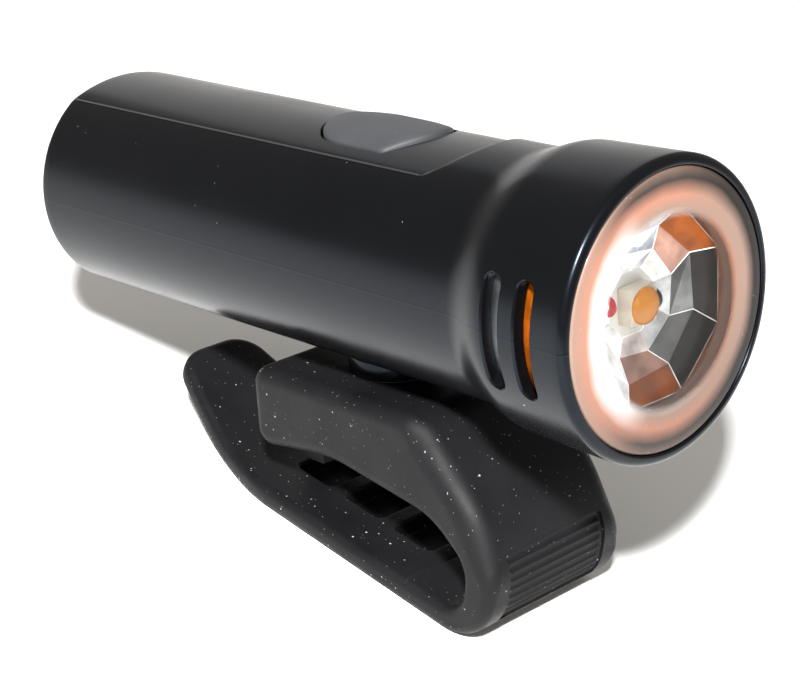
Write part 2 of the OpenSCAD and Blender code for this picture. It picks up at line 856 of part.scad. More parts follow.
module friction_washer() {
    color("#e8e4d8") swivel_ring(core_top, foot_r - 0.3);
}

module wave_washer() {
    color("#b8bcc0") swivel_ring(head_top, screw_head_r - 0.2);
}

// Nylon plate of the mount with its bar down to the strap hook
module core_plate(gap) {
    half_l = core_len / 2;
    half_w = core_w / 2;
    plan = rounded([[-half_l, -half_w, 3], [half_l, -half_w, 3], [half_l, half_w, 3], [-half_l, half_w, 3]]);
    translate([pivot_x, 0, core_bottom]) linear_extrude(core_t) polygon(plan);
    box([hook_x - gap, -hook_w / 2 - gap, core_bottom], [pivot_x - half_l + 1, hook_w / 2 + gap, core_top]);
    box([hook_x - gap, -hook_w / 2 - gap, block_bottom - hook_drop],
        [hook_x + hook_t + gap, hook_w / 2 + gap, core_bottom + cut]);
}

module mount_core() {
    tip = block_bottom - hook_drop;
    color("#303236") difference() {
        union() {
            core_plate(0);
            box([hook_x - hook_barb, -hook_w / 2, tip], [hook_x, hook_w / 2, tip + hook_barb]);
        }
        translate([pivot_x, 0, core_bottom - cut]) cylinder(h = core_t + 2 * cut, r = shoulder_r + run_gap);
    }
}

// Side view of the rubber block and the wall that runs down to the bend
bend_front = bend_x + bend_r;
block_outline = rounded([
    [block_x, block_top, heel_round], [wall_top_x, block_top, wall_round],
    [bend_front - wall_back, -bend_drop + wall_rise, wall_bow],
    [bend_front + knee_out, -bend_drop + knee_rise, knee_round],
    [bend_front - toe_back, -bend_drop - toe_drop, 0], [loop_x, loop_z, 0],
    [bend_x - under_back, block_bottom + under_rise, under_round],
    [block_x, block_bottom, sole_round]]);

// Side view of the space between the block and the band
loop_front = loop_x + bend_inner_r;
loop_floor = loop_z - bend_inner_r;
loop_outline = rounded([
    [block_x - loop_rear, block_bottom, 0], [block_x + sole_len, block_bottom + sole_rise, 0],
    [block_x + crown_back, block_bottom + crown_rise, crown_round],
    [block_x + brow_back, block_bottom - brow_drop, brow_round],
    [loop_front + cheek_out, loop_z + cheek_rise, cheek_round],
    [loop_front - chin_in, loop_z - chin_drop, chin_round], [loop_x, loop_floor, 0],
    [block_x - loop_rear, loop_floor, 0]]);

module strap_base() {
    color("#242426") difference() {
        union() {
            across(strap_w, block_outline);
            cross_bar(bend_x, -bend_drop, strap_w, bend_r);
        }
        across(strap_w + 2 * cut, loop_outline);
        cross_bar(loop_x, loop_z, strap_w + 2 * cut, bend_inner_r);
        cross_bar(bead_x, bead_z, strap_w + 2 * cut, bead_r + run_gap);
        box([bead_x - 2 * bend_r, -strap_w / 2 - cut, bead_z - bend_r],
            [lip_x, strap_w / 2 + cut, loop_z - mouth_drop]);
        core_plate(run_gap);
        translate([pivot_x, 0, core_top - run_gap])
            cylinder(h = foot_h + washer_t + cut, r = foot_r + pass_gap);
        translate([pivot_x, 0, block_bottom - cut])
            cylinder(h = core_bottom - block_bottom + 2 * cut, r = screw_head_r + pass_gap);
        for (i = [0:grooves - 1])
            let (a = groove_start - groove_step * i)
                cross_bar(bend_x + bend_r * cos(a), -bend_drop + bend_r * sin(a), groove_len, groove_r);
    }
}

// One slot of the band at a distance from the rolled end
module band_hole(u) {
    half_l = hole_len / 2;
    half_w = hole_w / 2;
    plan = rounded([[-half_l, -half_w, 1], [half_l, -half_w, 1], [half_l, half_w, 1], [-half_l, half_w, 1]]);
    translate([-u, 0, -band_under - cut]) linear_extrude(band_t + curl_r / 2) polygon(plan);
}

// Plan of the band: wider than it as far as the pull tab, whose flanks run in to its rounded end
band_plan = rounded([
    [cut + bead_r, -strap_w / 2 - cut, 0], [cut + bead_r, strap_w / 2 + cut, 0],
    [-flank_x, strap_w / 2 + cut, flank_round],
    [-pull_reach, pull_w / 2, pull_round], [-pull_reach, -pull_w / 2, pull_round],
    [-flank_x, -strap_w / 2 - cut, flank_round]]);

// Side view of the band: the straight run, the curl's underside, the pull tab and the top side back
function curl_point(r, a) = [-band_len - r * sin(a), curl_r - band_under - r * cos(a)];
function pull_point(r) =
    curl_point(r, curl_angle) + (pull_len + pull_spare) * [-cos(curl_angle), sin(curl_angle)];
band_outline = concat(
    [[-bead_neck, -band_under]],
    [for (i = [0:curl_steps]) curl_point(curl_r, curl_angle * i / curl_steps)],
    [pull_point(curl_r), pull_point(curl_r - band_t)],
    [for (i = [0:curl_steps]) curl_point(curl_r - band_t, curl_angle * (1 - i / curl_steps))],
    [[-bead_neck, band_top]]);

// Band in its own frame: the rolled end at the origin, the straight run along -X and the curl upwards
module band_solid() {
    difference() {
        union() {
            cross_bar(0, 0, strap_w, bead_r);
            intersection() {
                across(strap_w, band_outline);
                translate([0, 0, -band_under - cut]) linear_extrude(pull_rise + 2 * cut) polygon(band_plan);
            }
        }
        for (i = [0:hole_count - 1])
            band_hole(hole_first + hole_pitch * i);
    }
}

module strap_band() {
    color("#242426") translate([bead_x, 0, bead_z]) rotate([0, rest_tilt, 0]) band_solid();
}

stand() housing();
stand() lens();
stand() lens_seal();
stand() amber_ring();
stand() reflector();
stand() led_emitter();
stand() led_board();
stand() board_screws();
stand() led_lead_red();
stand() led_lead_black();
stand() heat_sink();
stand() driver_board();
stand() tact_switch();
stand() switch_plunger();
stand() status_led();
stand() button();
stand() battery_cell();
stand() cell_tab_front();
stand() cell_tab_rear();
stand() cell_holder_front();
stand() cell_holder_rear();
stand() board_link();
stand() charge_board();
stand() charge_port();
stand() tail_cap();
stand() tail_seal();
stand() tail_screws();
stand() port_cover();
stand() threaded_insert();
stand() pivot_screw();
stand() friction_washer();
stand() wave_washer();
stand() mount_core();
stand() strap_base();
stand() strap_band();
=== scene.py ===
import json
import math

import bmesh
import bpy
from bpy.props import FloatProperty, FloatVectorProperty, IntProperty, PointerProperty
from mathutils import Matrix, Vector


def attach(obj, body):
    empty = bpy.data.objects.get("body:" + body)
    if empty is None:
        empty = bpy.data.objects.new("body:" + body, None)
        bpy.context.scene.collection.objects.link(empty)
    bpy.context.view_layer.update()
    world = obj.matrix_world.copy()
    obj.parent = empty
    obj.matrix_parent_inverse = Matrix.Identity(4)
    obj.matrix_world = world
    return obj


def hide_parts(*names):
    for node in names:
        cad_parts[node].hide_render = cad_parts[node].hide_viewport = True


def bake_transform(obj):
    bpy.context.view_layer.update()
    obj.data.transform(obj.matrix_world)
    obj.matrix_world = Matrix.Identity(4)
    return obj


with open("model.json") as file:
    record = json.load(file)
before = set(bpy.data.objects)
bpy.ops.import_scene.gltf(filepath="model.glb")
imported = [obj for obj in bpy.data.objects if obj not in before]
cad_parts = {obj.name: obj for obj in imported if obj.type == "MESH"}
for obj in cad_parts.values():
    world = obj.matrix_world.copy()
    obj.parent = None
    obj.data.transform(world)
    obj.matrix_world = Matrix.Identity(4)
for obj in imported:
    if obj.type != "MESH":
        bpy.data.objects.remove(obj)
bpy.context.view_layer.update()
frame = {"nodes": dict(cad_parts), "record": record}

bl_info = {
    "name": "Bike headlight",
    "version": (1, 0, 0),
    "blender": (4, 5, 0),
    "location": "View3D > Sidebar > Headlight",
    "description": "Dresses the solids of a bicycle headlight with its shell, optics and rubber strap",
    "category": "Add Mesh",
}

MM = 0.001
# Points that lie closer together than this are one point
WELD = 0.002 * MM
# Faces that meet at less than this angle, in degrees, are shaded as one skin
SKIN_ANGLE = 35
# How far a large face outweighs a small one in the shading of a skin
FACE_WEIGHT = 80


JOINTS = {joint["name"]: joint for joint in frame["record"]["behaviour"]["joints"]}

# The lamp is modelled along X, its tail at zero and its axis at height zero, and then leant back
# as it stands on its strap. The swivel's axis gives the lean, and the strap's hinge the place.
SWIVEL_AXIS = Vector(JOINTS["swivel"]["axis"])
LEAN = math.atan2(-SWIVEL_AXIS.x, SWIVEL_AXIS.z)
ROLLED_END = Vector((77.0 * MM, 0.0, -44.0 * MM))
STRAP_HINGE = Vector(JOINTS["strap_bend"]["pos_m"])
LEANT = Matrix.Rotation(-LEAN, 4, "Y")
STAND = Matrix.Translation(STRAP_HINGE - LEANT @ ROLLED_END) @ LEANT


def linear(hex_colour):
    """Linear red, green and blue of an sRGB hex colour."""
    parts = [int(hex_colour[i:i + 2], 16) / 255 for i in (1, 3, 5)]
    return [part / 12.92 if part <= 0.04045 else ((part + 0.055) / 1.055) ** 2.4 for part in parts]


def length(name, description, millimetres):
    """A size in metres, with its default in millimetres."""
    return FloatProperty(name=name, description=description, default=millimetres * MM,
                         unit="LENGTH", precision=5)


def colour(name, description, hex_colour):
    """A colour with its default as sRGB hex."""
    return FloatVectorProperty(name=name, description=description, default=linear(hex_colour),
                               subtype="COLOR", size=3, min=0.0, max=1.0)


class HeadlightBody(bpy.types.PropertyGroup):
    """Sizes of the moulded body"""
    body_len: length("Body length", "From the tail to the front rim", 104.5)
    tube_d: length("Tube diameter", "Outside of the tube", 32.5)
    bore_d: length("Bore diameter", "Inside of the tube", 27.9)
    head_d: length("Head diameter", "Outside of the front rim", 37.0)
    head_back_d: length("Head back diameter", "Outside of the head where the flare ends", 36.3)
    neck_x: length("Neck place", "From the tail to where the flare starts", 84.0)
    neck_len: length("Neck length", "Length of the flare", 7.5)
    rim_round: length("Rim radius", "Edge radius of the front rim", 1.0)
    tail_round: length("Tail radius", "Edge radius of the tail", 0.8)
    cavity_r: length("Cavity radius", "Space for the amber ring", 16.5)
    cavity_x: length("Cavity place", "From the tail to the shoulder behind the amber ring", 90.6)
    ledge_x: length("Ledge place", "From the tail to the ledge under the lens", 101.1)
    lens_seat_r: length("Lens seat radius", "Recess that the lens drops into", 17.1)
    deck_drop: length("Deck drop", "Drop of the deck's crown below the tube's top", 0.9)
    deck_crown_r: length("Deck crown", "Radius of the deck's crown", 22.7)
    deck_len: length("Deck length", "From the tail to the deck's front tip", 77.5)
    deck_arch: length("Deck arch", "How far the deck's front corners lie behind its tip", 3.8)
    slot_x: length("Slot place", "From the tail to the middle of the front slot", 98.1)
    slot_pitch: length("Slot spacing", "From one side slot to the next", 5.2)
    slot_w: length("Slot width", "Width of a side slot", 2.4)
    slot_half_h: length("Slot half height", "Half of a side slot's height", 6.92)
    foot_r: length("Foot radius", "Round foot on which the mount turns", 6.5)
    foot_z: length("Foot depth", "From the axis down to the foot's face", 17.6)
    pivot_x: length("Pivot place", "From the tail to the swivel", 57.0)


class HeadlightButton(bpy.types.PropertyGroup):
    """Sizes of the soft button"""
    rear_x: length("Rear end", "From the tail to the button's rear edge", 48.8)
    front_x: length("Front corners", "From the tail to the button's front corners", 63.7)
    tip_x: length("Front tip", "From the tail to the corner that the tip is rounded from", 68.8)
    half_w: length("Half width", "Half of the button's width", 6.5)
    under_z: length("Underside", "Height of the underside above the axis", 12.9)
    proud: length("Proud", "Height of its crown above the deck", 1.25)
    gap: length("Gap", "Gap round the button", 0.25)
    dish: length("Dish", "Depth of the thumb dish", 0.14)


class HeadlightOptics(bpy.types.PropertyGroup):
    """Sizes of the lens and what lies behind it"""
    lens_r: length("Lens radius", "Outside of the lens", 17.0)
    lens_back: length("Lens back", "From the tail to the lens' back", 101.6)
    lens_front: length("Lens front", "From the tail to the lens' front", 104.45)
    clear_r: length("Clear middle", "Radius of the clear middle of the lens", 11.9)
    # The radii from here to the dark gap place the painted daylight, painted glow and painted shade on the
    # lens' matt band
    frost_r: length("Frost start", "Radius where the tones of the matt band start", 10.0)
    haze_r: length("Haze", "Radius where the daylight in the matt band fades", 12.6)
    glow_r: length("Glow", "Radius where the amber ring shines through", 14.0)
    gap_r: length("Dark gap", "Radius of the unlit room between amber ring and rim", 15.8)
    mouth_r: length("Reflector mouth", "Radius of the reflector's mouth", 11.5)
    row_r: length("First row", "Radius between the reflector's first and second rows of facets", 6.2)
    mid_r: length("Second row", "Radius between its second and third rows of facets", 8.8)
    hole_r: length("Reflector hole", "Radius of the hole in its floor", 5.0)
    floor_x: length("Reflector floor", "From the tail to the reflector's floor", 97.5)
    mouth_x: length("Reflector front", "From the tail to the reflector's mouth", 101.3)
    dome_r: length("Dome radius", "Radius of the light source's dome", 2.3)
    dome_h: length("Dome height", "Height of the light source's dome", 1.1)
    package_h: length("Package height", "Height of the light source under its dome", 2.2)
    petals: IntProperty(name="Petals", description="Facets round the reflector", default=8, min=6, max=12)


class HeadlightStrap(bpy.types.PropertyGroup):
    """Sizes of the rubber strap"""
    width: length("Width", "Width of the strap", 25.0)
    block_x: length("Block place", "From the tail to the block's rear end", 40.5)
    block_top: length("Block top", "From the axis down to the block's top", 17.65)
    block_h: length("Block height", "Height of the block at its rear end", 12.0)
    block_len: length("Block length", "Length of the block's flat top", 32.0)
    bend_x: length("Bend place", "From the tail to the middle of the bend", 77.3)
    bend_drop: length("Bend depth", "From the axis down to the middle of the bend", 37.9)
    bend_r: length("Bend radius", "Outside of the bend", 7.9)
    loop_r: length("Loop radius", "Inside of the bend", 3.7)
    band_t: length("Band thickness", "Thickness of the band", 3.2)
    band_under: length("Band underside", "From the hinge down to the band's underside", 1.8)
    band_len: length("Band length", "Straight run of the band", 41.0)
    curl_r: length("Curl radius", "Underside of the curled end", 34.0)
    curl_angle: FloatProperty(name="Curl angle", description="Turn of the curled end",
                              default=math.radians(24), unit="ROTATION")
    pull_len: length("Tab length", "Pull tab beyond the curl", 11.0)
    pull_start: length("Tab start", "From the hinge to where the pull tab narrows", 38.5)
    pull_w: length("Tab width", "Width of the pull tab at its end", 12.8)
    pull_round: length("Tab corners", "Corner radius of the pull tab", 5.2)
    flank_round: length("Tab flanks", "Radius where the band runs into the pull tab's flanks", 30.0)
    hole_first: length("First slot", "From the hinge to the first slot", 14.7)
    hole_pitch: length("Slot spacing", "From one slot to the next", 9.9)
    hole_len: length("Slot length", "Slot along the band", 7.2)
    hole_w: length("Slot width", "Slot across the band", 9.6)
    web_t: length("Slot floor", "Thin skin of rubber that closes a slot below", 0.5)
    block_edge: length("Block edge", "Edge radius of the block", 2.2)
    band_edge: length("Band edge", "Edge radius of the band", 1.3)
    wall_edge: length("Wall edge", "Edge radius of the front wall", 3.4)
    groove_len: length("Groove length", "Length of a grip groove", 17.5)
    groove_r: length("Groove radius", "Radius of a grip groove", 0.8)
    groove_deep: length("Groove depth", "Depth of a grip groove", 0.3)
    groove_pitch: length("Groove spacing", "From one grip groove to the next", 1.31)
    patch_deep: length("Grip depth", "Depth of the recess that the grooves lie in", 0.3)


class HeadlightFlap(bpy.types.PropertyGroup):
    """Sizes of the soft flap over the charging socket"""
    hinge_x: length("Hinge place", "From the tail's face to the hinge", 1.1)
    hinge_drop: length("Hinge depth", "From the axis down to the hinge", 6.0)
    width: length("Width", "Width of the flap", 15.0)
    height: length("Height", "From the hinge to the flap's upper edge", 11.0)
    thickness: length("Thickness", "Thickness of the flap", 1.8)
    corner_r: length("Corners", "Radius of its upper corners", 1.2)
    edge_r: length("Edge", "Radius of its outer edge", 0.35)
    plug_w: length("Plug width", "Width of the plug that enters the socket's mouth", 9.3)
    plug_h: length("Plug height", "Height of the plug", 3.8)
    plug_t: length("Plug depth", "Depth of the plug behind the flap", 0.6)


class HeadlightFinish(bpy.types.PropertyGroup):
    """Colours of the visible finishes, and the painted light, painted shade and painted reflections of the
    lens and the reflector
    """
    body: colour("Body", "Black moulded plastic", "#070708")
    rubber: colour("Rubber", "Black silicone of the strap", "#101012")
    button: colour("Button", "Grey silicone of the button", "#3a3b3e")
    amber: colour("Amber", "Ring behind the lens", "#9a4c0a")
    dust: colour("Dust", "Specks on body and strap", "#a8a6a2")
    floor: colour("Floor", "Table under the lamp", "#fafaf9")
    # From here on the tones are painted: daylight and shade on the lens' matt band, the amber ring's painted
    # glow, the dark gap's painted shade and the sky's painted reflection
    frost: colour("Frost", "Matt band of the lens in daylight", "#d4d4d4")
    glow: colour("Glow", "Amber ring seen through the matt band", "#966856")
    painted_band_shade: colour("Smoke", "Matt band of the lens in shade", "#80685c")
    gap: colour("Gap", "Unlit room between amber ring and rim", "#2c2624")
    sky_painted_reflection: colour("Sky", "Daylight that the reflector mirrors", "#e4ecf8")


# Small tools of the modelling

def deselect():
    """Leaves edit mode and selects nothing."""
    if bpy.context.object and bpy.context.object.mode != "OBJECT":
        bpy.ops.object.mode_set(mode="OBJECT")
    bpy.ops.object.select_all(action="DESELECT")


def take(piece):
    """Selects one piece and makes it the active one."""
    deselect()
    piece.select_set(True)
    bpy.context.view_layer.objects.active = piece


def lay(piece, points):
    """Puts the selected points of a piece in edit mode where a list says, in their order."""
    shape = bmesh.from_edit_mesh(piece.data)
    shape.verts.index_update()
    picked = sorted((vert for vert in shape.verts if vert.select), key=lambda vert: vert.index)
    if len(picked) != len(points):
        raise RuntimeError(f"{piece.name}: {len(picked)} points picked for {len(points)} places")
    for vert, point in zip(picked, points):
        vert.co = point
    bmesh.update_edit_mesh(piece.data)


def loop_of(name, points):
    """A closed loop of edges through the points, left in edit mode with all of it selected."""
    deselect()
    bpy.ops.mesh.primitive_circle_add(vertices=len(points), radius=MM)
    piece = bpy.context.object
    piece.name = name
    piece.data.name = name
    bpy.ops.object.mode_set(mode="EDIT")
    bpy.ops.mesh.select_all(action="SELECT")
    lay(piece, points)
    return piece


def clean(piece):
    """Merges doubles, turns the faces outwards and leaves edit mode."""
    bpy.ops.mesh.select_all(action="SELECT")
    bpy.ops.mesh.remove_doubles(threshold=WELD)
    bpy.ops.mesh.delete_loose()
    bpy.ops.mesh.select_all(action="SELECT")
    bpy.ops.mesh.normals_make_consistent(inside=False)
    bpy.ops.object.mode_set(mode="OBJECT")
    return piece


def ring_stack(name, rings):
    """A closed skin over rings of points, each extruded from the one before it."""
    piece = loop_of(name, rings[0])
    for ring in rings[1:]:
        bpy.ops.mesh.extrude_region_move()
        lay(piece, ring)
    bpy.ops.mesh.select_all(action="SELECT")
    bpy.ops.mesh.fill_holes(sides=0)
    return clean(piece)


def turned(name, profile, steps):
    """A closed profile of (station, radius) points spun about the lamp's axis."""
    piece = loop_of(name, [(x, 0.0, r) for x, r in profile])
    bpy.ops.mesh.spin(steps=steps, angle=math.tau, center=(0, 0, 0), axis=(1, 0, 0))
    return clean(piece)


def plate(name, points, thickness):
    """A flat outline of 3D points, filled and extruded by a vector."""
    piece = loop_of(name, points)
    bpy.ops.mesh.edge_face_add()
    bpy.ops.mesh.extrude_region_move(TRANSFORM_OT_translate={"value": thickness})
    return clean(piece)


def apply_modifier(piece, kind, **settings):
    """Adds a modifier with its settings and applies it."""
    take(piece)
    modifier = piece.modifiers.new(kind.lower(), kind)
    for name, value in settings.items():
        setattr(modifier, name, value)
    bpy.ops.object.modifier_apply(modifier=modifier.name)


def carve(piece, cutter):
    """Cuts one piece out of another and deletes the cutter."""
    apply_modifier(piece, "BOOLEAN", operation="DIFFERENCE", solver="EXACT", object=cutter)
    bpy.data.objects.remove(cutter)


def round_edges(piece, width, segments, weight_of):
    """Rounds edges by a width times what weight_of gives for the edge's middle and its two face normals."""
    shape = bmesh.new()
    shape.from_mesh(piece.data)
    shape.edges.ensure_lookup_table()
    weights = []
    for edge in shape.edges:
        normals = [face.normal.copy() for face in edge.link_faces]
        middle = (edge.verts[0].co + edge.verts[1].co) / 2
        weights.append(weight_of(middle, normals) if len(normals) == 2 else 0.0)
    shape.free()
    attribute = piece.data.attributes.new("bevel_weight_edge", "FLOAT", "EDGE")
    attribute.data.foreach_set("value", weights)
    apply_modifier(piece, "BEVEL", width=width, segments=segments, limit_method="WEIGHT",
                   use_clamp_overlap=False, profile=0.5)


def soft_plate(name, outline, half, plain, radius_of, steps=8):
    """A side view given its width, its edges rounded by a radius for each point and outward normal; the
    edge after the plain point stays a sharp end."""
    flat = [Vector(point) for point in outline]
    edges = [(after - point).normalized() for point, after in zip(flat, flat[1:] + flat[:1])]
    rims = []
    for i, point in enumerate(flat):
        heading = (edges[i - 1] + edges[i]).normalized()
        normal = Vector((-heading.y, heading.x))
        if i == plain:
            normal = -edges[plain]
        elif i == plain + 1:
            normal = edges[plain]
        rims.append((point, normal, radius_of(point, normal)))
    turns = [math.pi / 2 * i / steps for i in range(steps + 1)]
    near = [[(*(point - normal * radius * (1 - math.sin(turn))), half - radius * (1 - math.cos(turn)))
             for point, normal, radius in rims] for turn in turns]
    rings = [[(x, -y, z) for x, z, y in ring] for ring in near]
    rings += [[(x, y, z) for x, z, y in ring] for ring in reversed(near)]
    return ring_stack(name, rings)


def brick(name, size, middle, edge):
    """A block with rounded edges."""
    deselect()
    bpy.ops.mesh.primitive_cube_add(size=1.0)
    piece = bpy.context.object
    piece.name = name
    piece.scale = size
    piece.location = middle
    bpy.ops.object.transform_apply(location=True, rotation=True, scale=True)
    apply_modifier(piece, "BEVEL", width=edge, segments=3, limit_method="ANGLE")
    return piece


def join(piece, others):
    """Makes other pieces part of one."""
    take(piece)
    for other in others:
        other.select_set(True)
    bpy.ops.object.join()


def smooth(piece, degrees):
    """Smooth shading with creases over an angle."""
    take(piece)
    bpy.ops.object.shade_smooth_by_angle(angle=math.radians(degrees))


def even_shading(piece):
    """Lets a piece's large faces rule its shading, so that only its rounded edges turn the light."""
    smooth(piece, SKIN_ANGLE)
    apply_modifier(piece, "WEIGHTED_NORMAL", keep_sharp=True, weight=FACE_WEIGHT)


def dress(piece, material, body, nodes=(), place=STAND):
    """Puts a piece where it belongs, gives it its material, and ties it to its body and the nodes that
    it stands for."""
    piece.data.transform(place)
    piece.data.materials.clear()
    piece.data.materials.append(material)
    if body:
        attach(piece, body)
    if nodes:
        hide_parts(*nodes)


def corner_arc(before, corner, after, radius, steps=10):
    """Points of the arc that rounds a corner of a flat outline."""
    before, corner, after = Vector(before), Vector(corner), Vector(after)
    to_before = (before - corner).normalized()
    to_after = (after - corner).normalized()
    half = to_before.angle(to_after) / 2
    middle = corner + (to_before + to_after).normalized() * radius / math.sin(half)
    first = corner + to_before * radius / math.tan(half) - middle
    last = corner + to_after * radius / math.tan(half) - middle
    start = math.atan2(first.y, first.x)
    sweep = (math.atan2(last.y, last.x) - start + math.pi) % math.tau - math.pi
    turns = [start + sweep * i / steps for i in range(steps + 1)]
    return [(middle.x + radius * math.cos(turn), middle.y + radius * math.sin(turn)) for turn in turns]


def rounded(corners, steps=10):
    """Closed flat outline from (x, y, corner radius) points."""
    points = []
    for i, (x, y, radius) in enumerate(corners):
        before = corners[i - 1][:2]
        after = corners[(i + 1) % len(corners)][:2]
        points += corner_arc(before, (x, y), after, radius, steps) if radius else [(x, y)]
    return points


def arc(middle, radius, start, end, steps):
    """Points on a circle between two angles in degrees."""
    turns = [math.radians(start + (end - start) * i / steps) for i in range(steps + 1)]
    return [(middle[0] + radius * math.cos(turn), middle[1] + radius * math.sin(turn)) for turn in turns]


def ease(value, low, high):
    """Smooth step from 0 at low to 1 at high."""
    share = min(max((value - low) / (high - low), 0.0), 1.0)
    return share * share * (3 - 2 * share)


def soft_min(a, b, width):
    """The lesser of two values with a rounded change-over."""
    share = min(max(0.5 + 0.5 * (b - a) / width, 0.0), 1.0)
    return b + (a - b) * share - width * share * (1 - share)


# Materials

def add(tree, kind, settings=None, links=None):
    """Adds a node; a setting or link is named by attribute, socket name or socket number."""
    made = tree.nodes.new(kind)
    for name, value in (settings or {}).items():
        if isinstance(name, str) and name not in made.inputs and hasattr(made, name):
            setattr(made, name, value)
        else:
            made.inputs[name].default_value = value
    for name, source in (links or {}).items():
        tree.links.new(source, made.inputs[name])
    return made


def blank(name):
    """A new material with an empty node tree."""
    material = bpy.data.materials.new(name)
    material.use_nodes = True
    material.node_tree.nodes.clear()
    return material, material.node_tree


def surface(tree, shader):
    """Ends a material's tree in its output."""
    add(tree, "ShaderNodeOutputMaterial", links={"Surface": shader})


def lamp_place(tree):
    """The point on the object in the lamp's own frame, along its axis."""
    spot = add(tree, "ShaderNodeTexCoord").outputs["Object"]
    back = STAND.inverted()
    turn = add(tree, "ShaderNodeMapping",
               {"Rotation": back.to_euler(), "Location": back.to_translation()}, {"Vector": spot})
    return turn.outputs["Vector"]


def specks(tree, place, spacing, size, share):
    """Mask of sparse grains: one cell per spacing, a share of them filled, each of a size, in millimetres."""
    cells = add(tree, "ShaderNodeTexVoronoi", {"Scale": 1 / (spacing * MM)}, {"Vector": place})
    chance = add(tree, "ShaderNodeSeparateColor", links={"Color": cells.outputs["Color"]}).outputs["Red"]
    filled = add(tree, "ShaderNodeMath", {"operation": "LESS_THAN", 1: share}, {0: chance}).outputs[0]
    reach = size / 2 / spacing
    near = add(tree, "ShaderNodeMapRange",
               {"From Min": reach * 0.5, "From Max": reach, "To Min": 1.0, "To Max": 0.0},
               {"Value": cells.outputs["Distance"]}).outputs["Result"]
    return add(tree, "ShaderNodeMath", {"operation": "MULTIPLY"}, {0: filled, 1: near}).outputs[0]


def lint(tree, place, grains, fibre_share):
    """Mask of dust grains and a few short fibres; each kind of grain has its spacing and size in millimetres,
    the share of places that hold one, and its weight."""
    fibre_spacing, fibre_size, fibre_weight = 2.4, 0.16, 0.6
    mask = None
    for spacing, size, share, weight in grains:
        grain = specks(tree, place, spacing, size, share)
        links = {0: grain, 2: mask} if mask else {0: grain}
        mask = add(tree, "ShaderNodeMath", {"operation": "MULTIPLY_ADD", 1: weight, 2: 0.0}, links).outputs[0]
    # A fibre is a grain in a room that is squeezed five times along one slanting line
    slant = add(tree, "ShaderNodeMapping", {"Rotation": (0.7, 0.5, 0.9), "Scale": (1.0, 1.0, 0.2)},
                {"Vector": place})
    fibre = specks(tree, slant.outputs["Vector"], fibre_spacing, fibre_size, fibre_share)
    return add(tree, "ShaderNodeMath", {"operation": "MULTIPLY_ADD", 1: fibre_weight, "use_clamp": True},
               {0: fibre, 2: mask}).outputs[0]


def cloudy_colour(tree, place, millimetres, low, high):
    """A colour that drifts between two over a number of millimetres."""
    drift = add(tree, "ShaderNodeTexNoise", {"Scale": 1 / (millimetres * MM), "Detail": 3.0},
                {"Vector": place})
    mixed = add(tree, "ShaderNodeMix", {"data_type": "RGBA", 6: (*low, 1.0), 7: (*high, 1.0)},
                {0: drift.outputs["Fac"]})
    return mixed.outputs[2]


def cloudy_value(tree, place, millimetres, low, high):
    """A value that drifts between two over a number of millimetres."""
    drift = add(tree, "ShaderNodeTexNoise", {"Scale": 1 / (millimetres * MM), "Detail": 3.0},
                {"Vector": place})
    held = add(tree, "ShaderNodeMapRange", {"From Min": 0.3, "From Max": 0.7, "To Min": low, "To Max": high},
               {"Value": drift.outputs["Fac"]})
    return held.outputs["Result"]


def grain_normal(tree, place, millimetres, depth):
    """Surface normal of a grain with a width and a depth in millimetres."""
    grain = add(tree, "ShaderNodeTexNoise", {"Scale": 1 / (millimetres * MM), "Detail": 3.0},
                {"Vector": place})
    relief = add(tree, "ShaderNodeBump", {"Strength": 0.5, "Distance": depth * MM},
                 {"Height": grain.outputs["Fac"]})
    return relief.outputs["Normal"]


def ring_colours(tree, radius, tones):
    """Rings of colour round the axis; each tone comes with the radius that it stands at."""
    inner, outer = tones[0][0], tones[-1][0]
    share = add(tree, "ShaderNodeMapRange", {"From Min": inner, "From Max": outer}, {"Value": radius})
    rings = add(tree, "ShaderNodeValToRGB", links={"Fac": share.outputs["Result"]})
    stops = rings.color_ramp.elements
    for i, (at, tone) in enumerate(tones):
        position = (at - inner) / (outer - inner)
        stop = stops[i] if i < 1 else stops.new(position) if i < len(tones) - 1 else stops[-1]
        stop.position = position
        stop.color = (*tone, 1.0)
    return rings.outputs["Color"]


def shade(colour_values, factor):
    """A colour made darker or lighter."""
    return [min(value * factor, 1.0) for value in colour_values]


def crease(tree, place, body):
    """Mask of the fine bead where the deck's crown meets the tube, from the tail to the deck's front
    corners."""
    bead_depth, fade = 0.07 * MM, 0.6 * MM
    parts = add(tree, "ShaderNodeSeparateXYZ", links={"Vector": place}).outputs
    sunk = []
    for radius, middle in ((body.tube_d / 2, 0.0), (body.deck_crown_r, crown_middle(body))):
        level = add(tree, "ShaderNodeMath", {"operation": "SUBTRACT", 1: middle}, {0: parts["Z"]}).outputs[0]
        flat = add(tree, "ShaderNodeCombineXYZ", links={"Y": parts["Y"], "Z": level}).outputs[0]
        reach = add(tree, "ShaderNodeVectorMath", {"operation": "LENGTH"}, {0: flat}).outputs["Value"]
        sunk.append(add(tree, "ShaderNodeMath", {"operation": "SUBTRACT", 0: radius}, {1: reach}).outputs[0])
    depth = add(tree, "ShaderNodeMath", {"operation": "MAXIMUM"}, {0: sunk[0], 1: sunk[1]}).outputs[0]
    # Tube and crown part by about a fifth of the distance from the crease, so the bead is 0.7 mm wide
    bead = add(tree, "ShaderNodeMapRange",
               {"interpolation_type": "SMOOTHSTEP", "From Min": 0.0, "From Max": bead_depth,
                "To Min": 1.0, "To Max": 0.0}, {"Value": depth}).outputs["Result"]
    end = body.deck_len - body.deck_arch
    behind = add(tree, "ShaderNodeMapRange",
                 {"From Min": end - fade, "From Max": end, "To Min": 1.0, "To Max": 0.0},
                 {"Value": parts["X"]}).outputs["Result"]
    return add(tree, "ShaderNodeMath", {"operation": "MULTIPLY"}, {0: bead, 1: behind}).outputs[0]


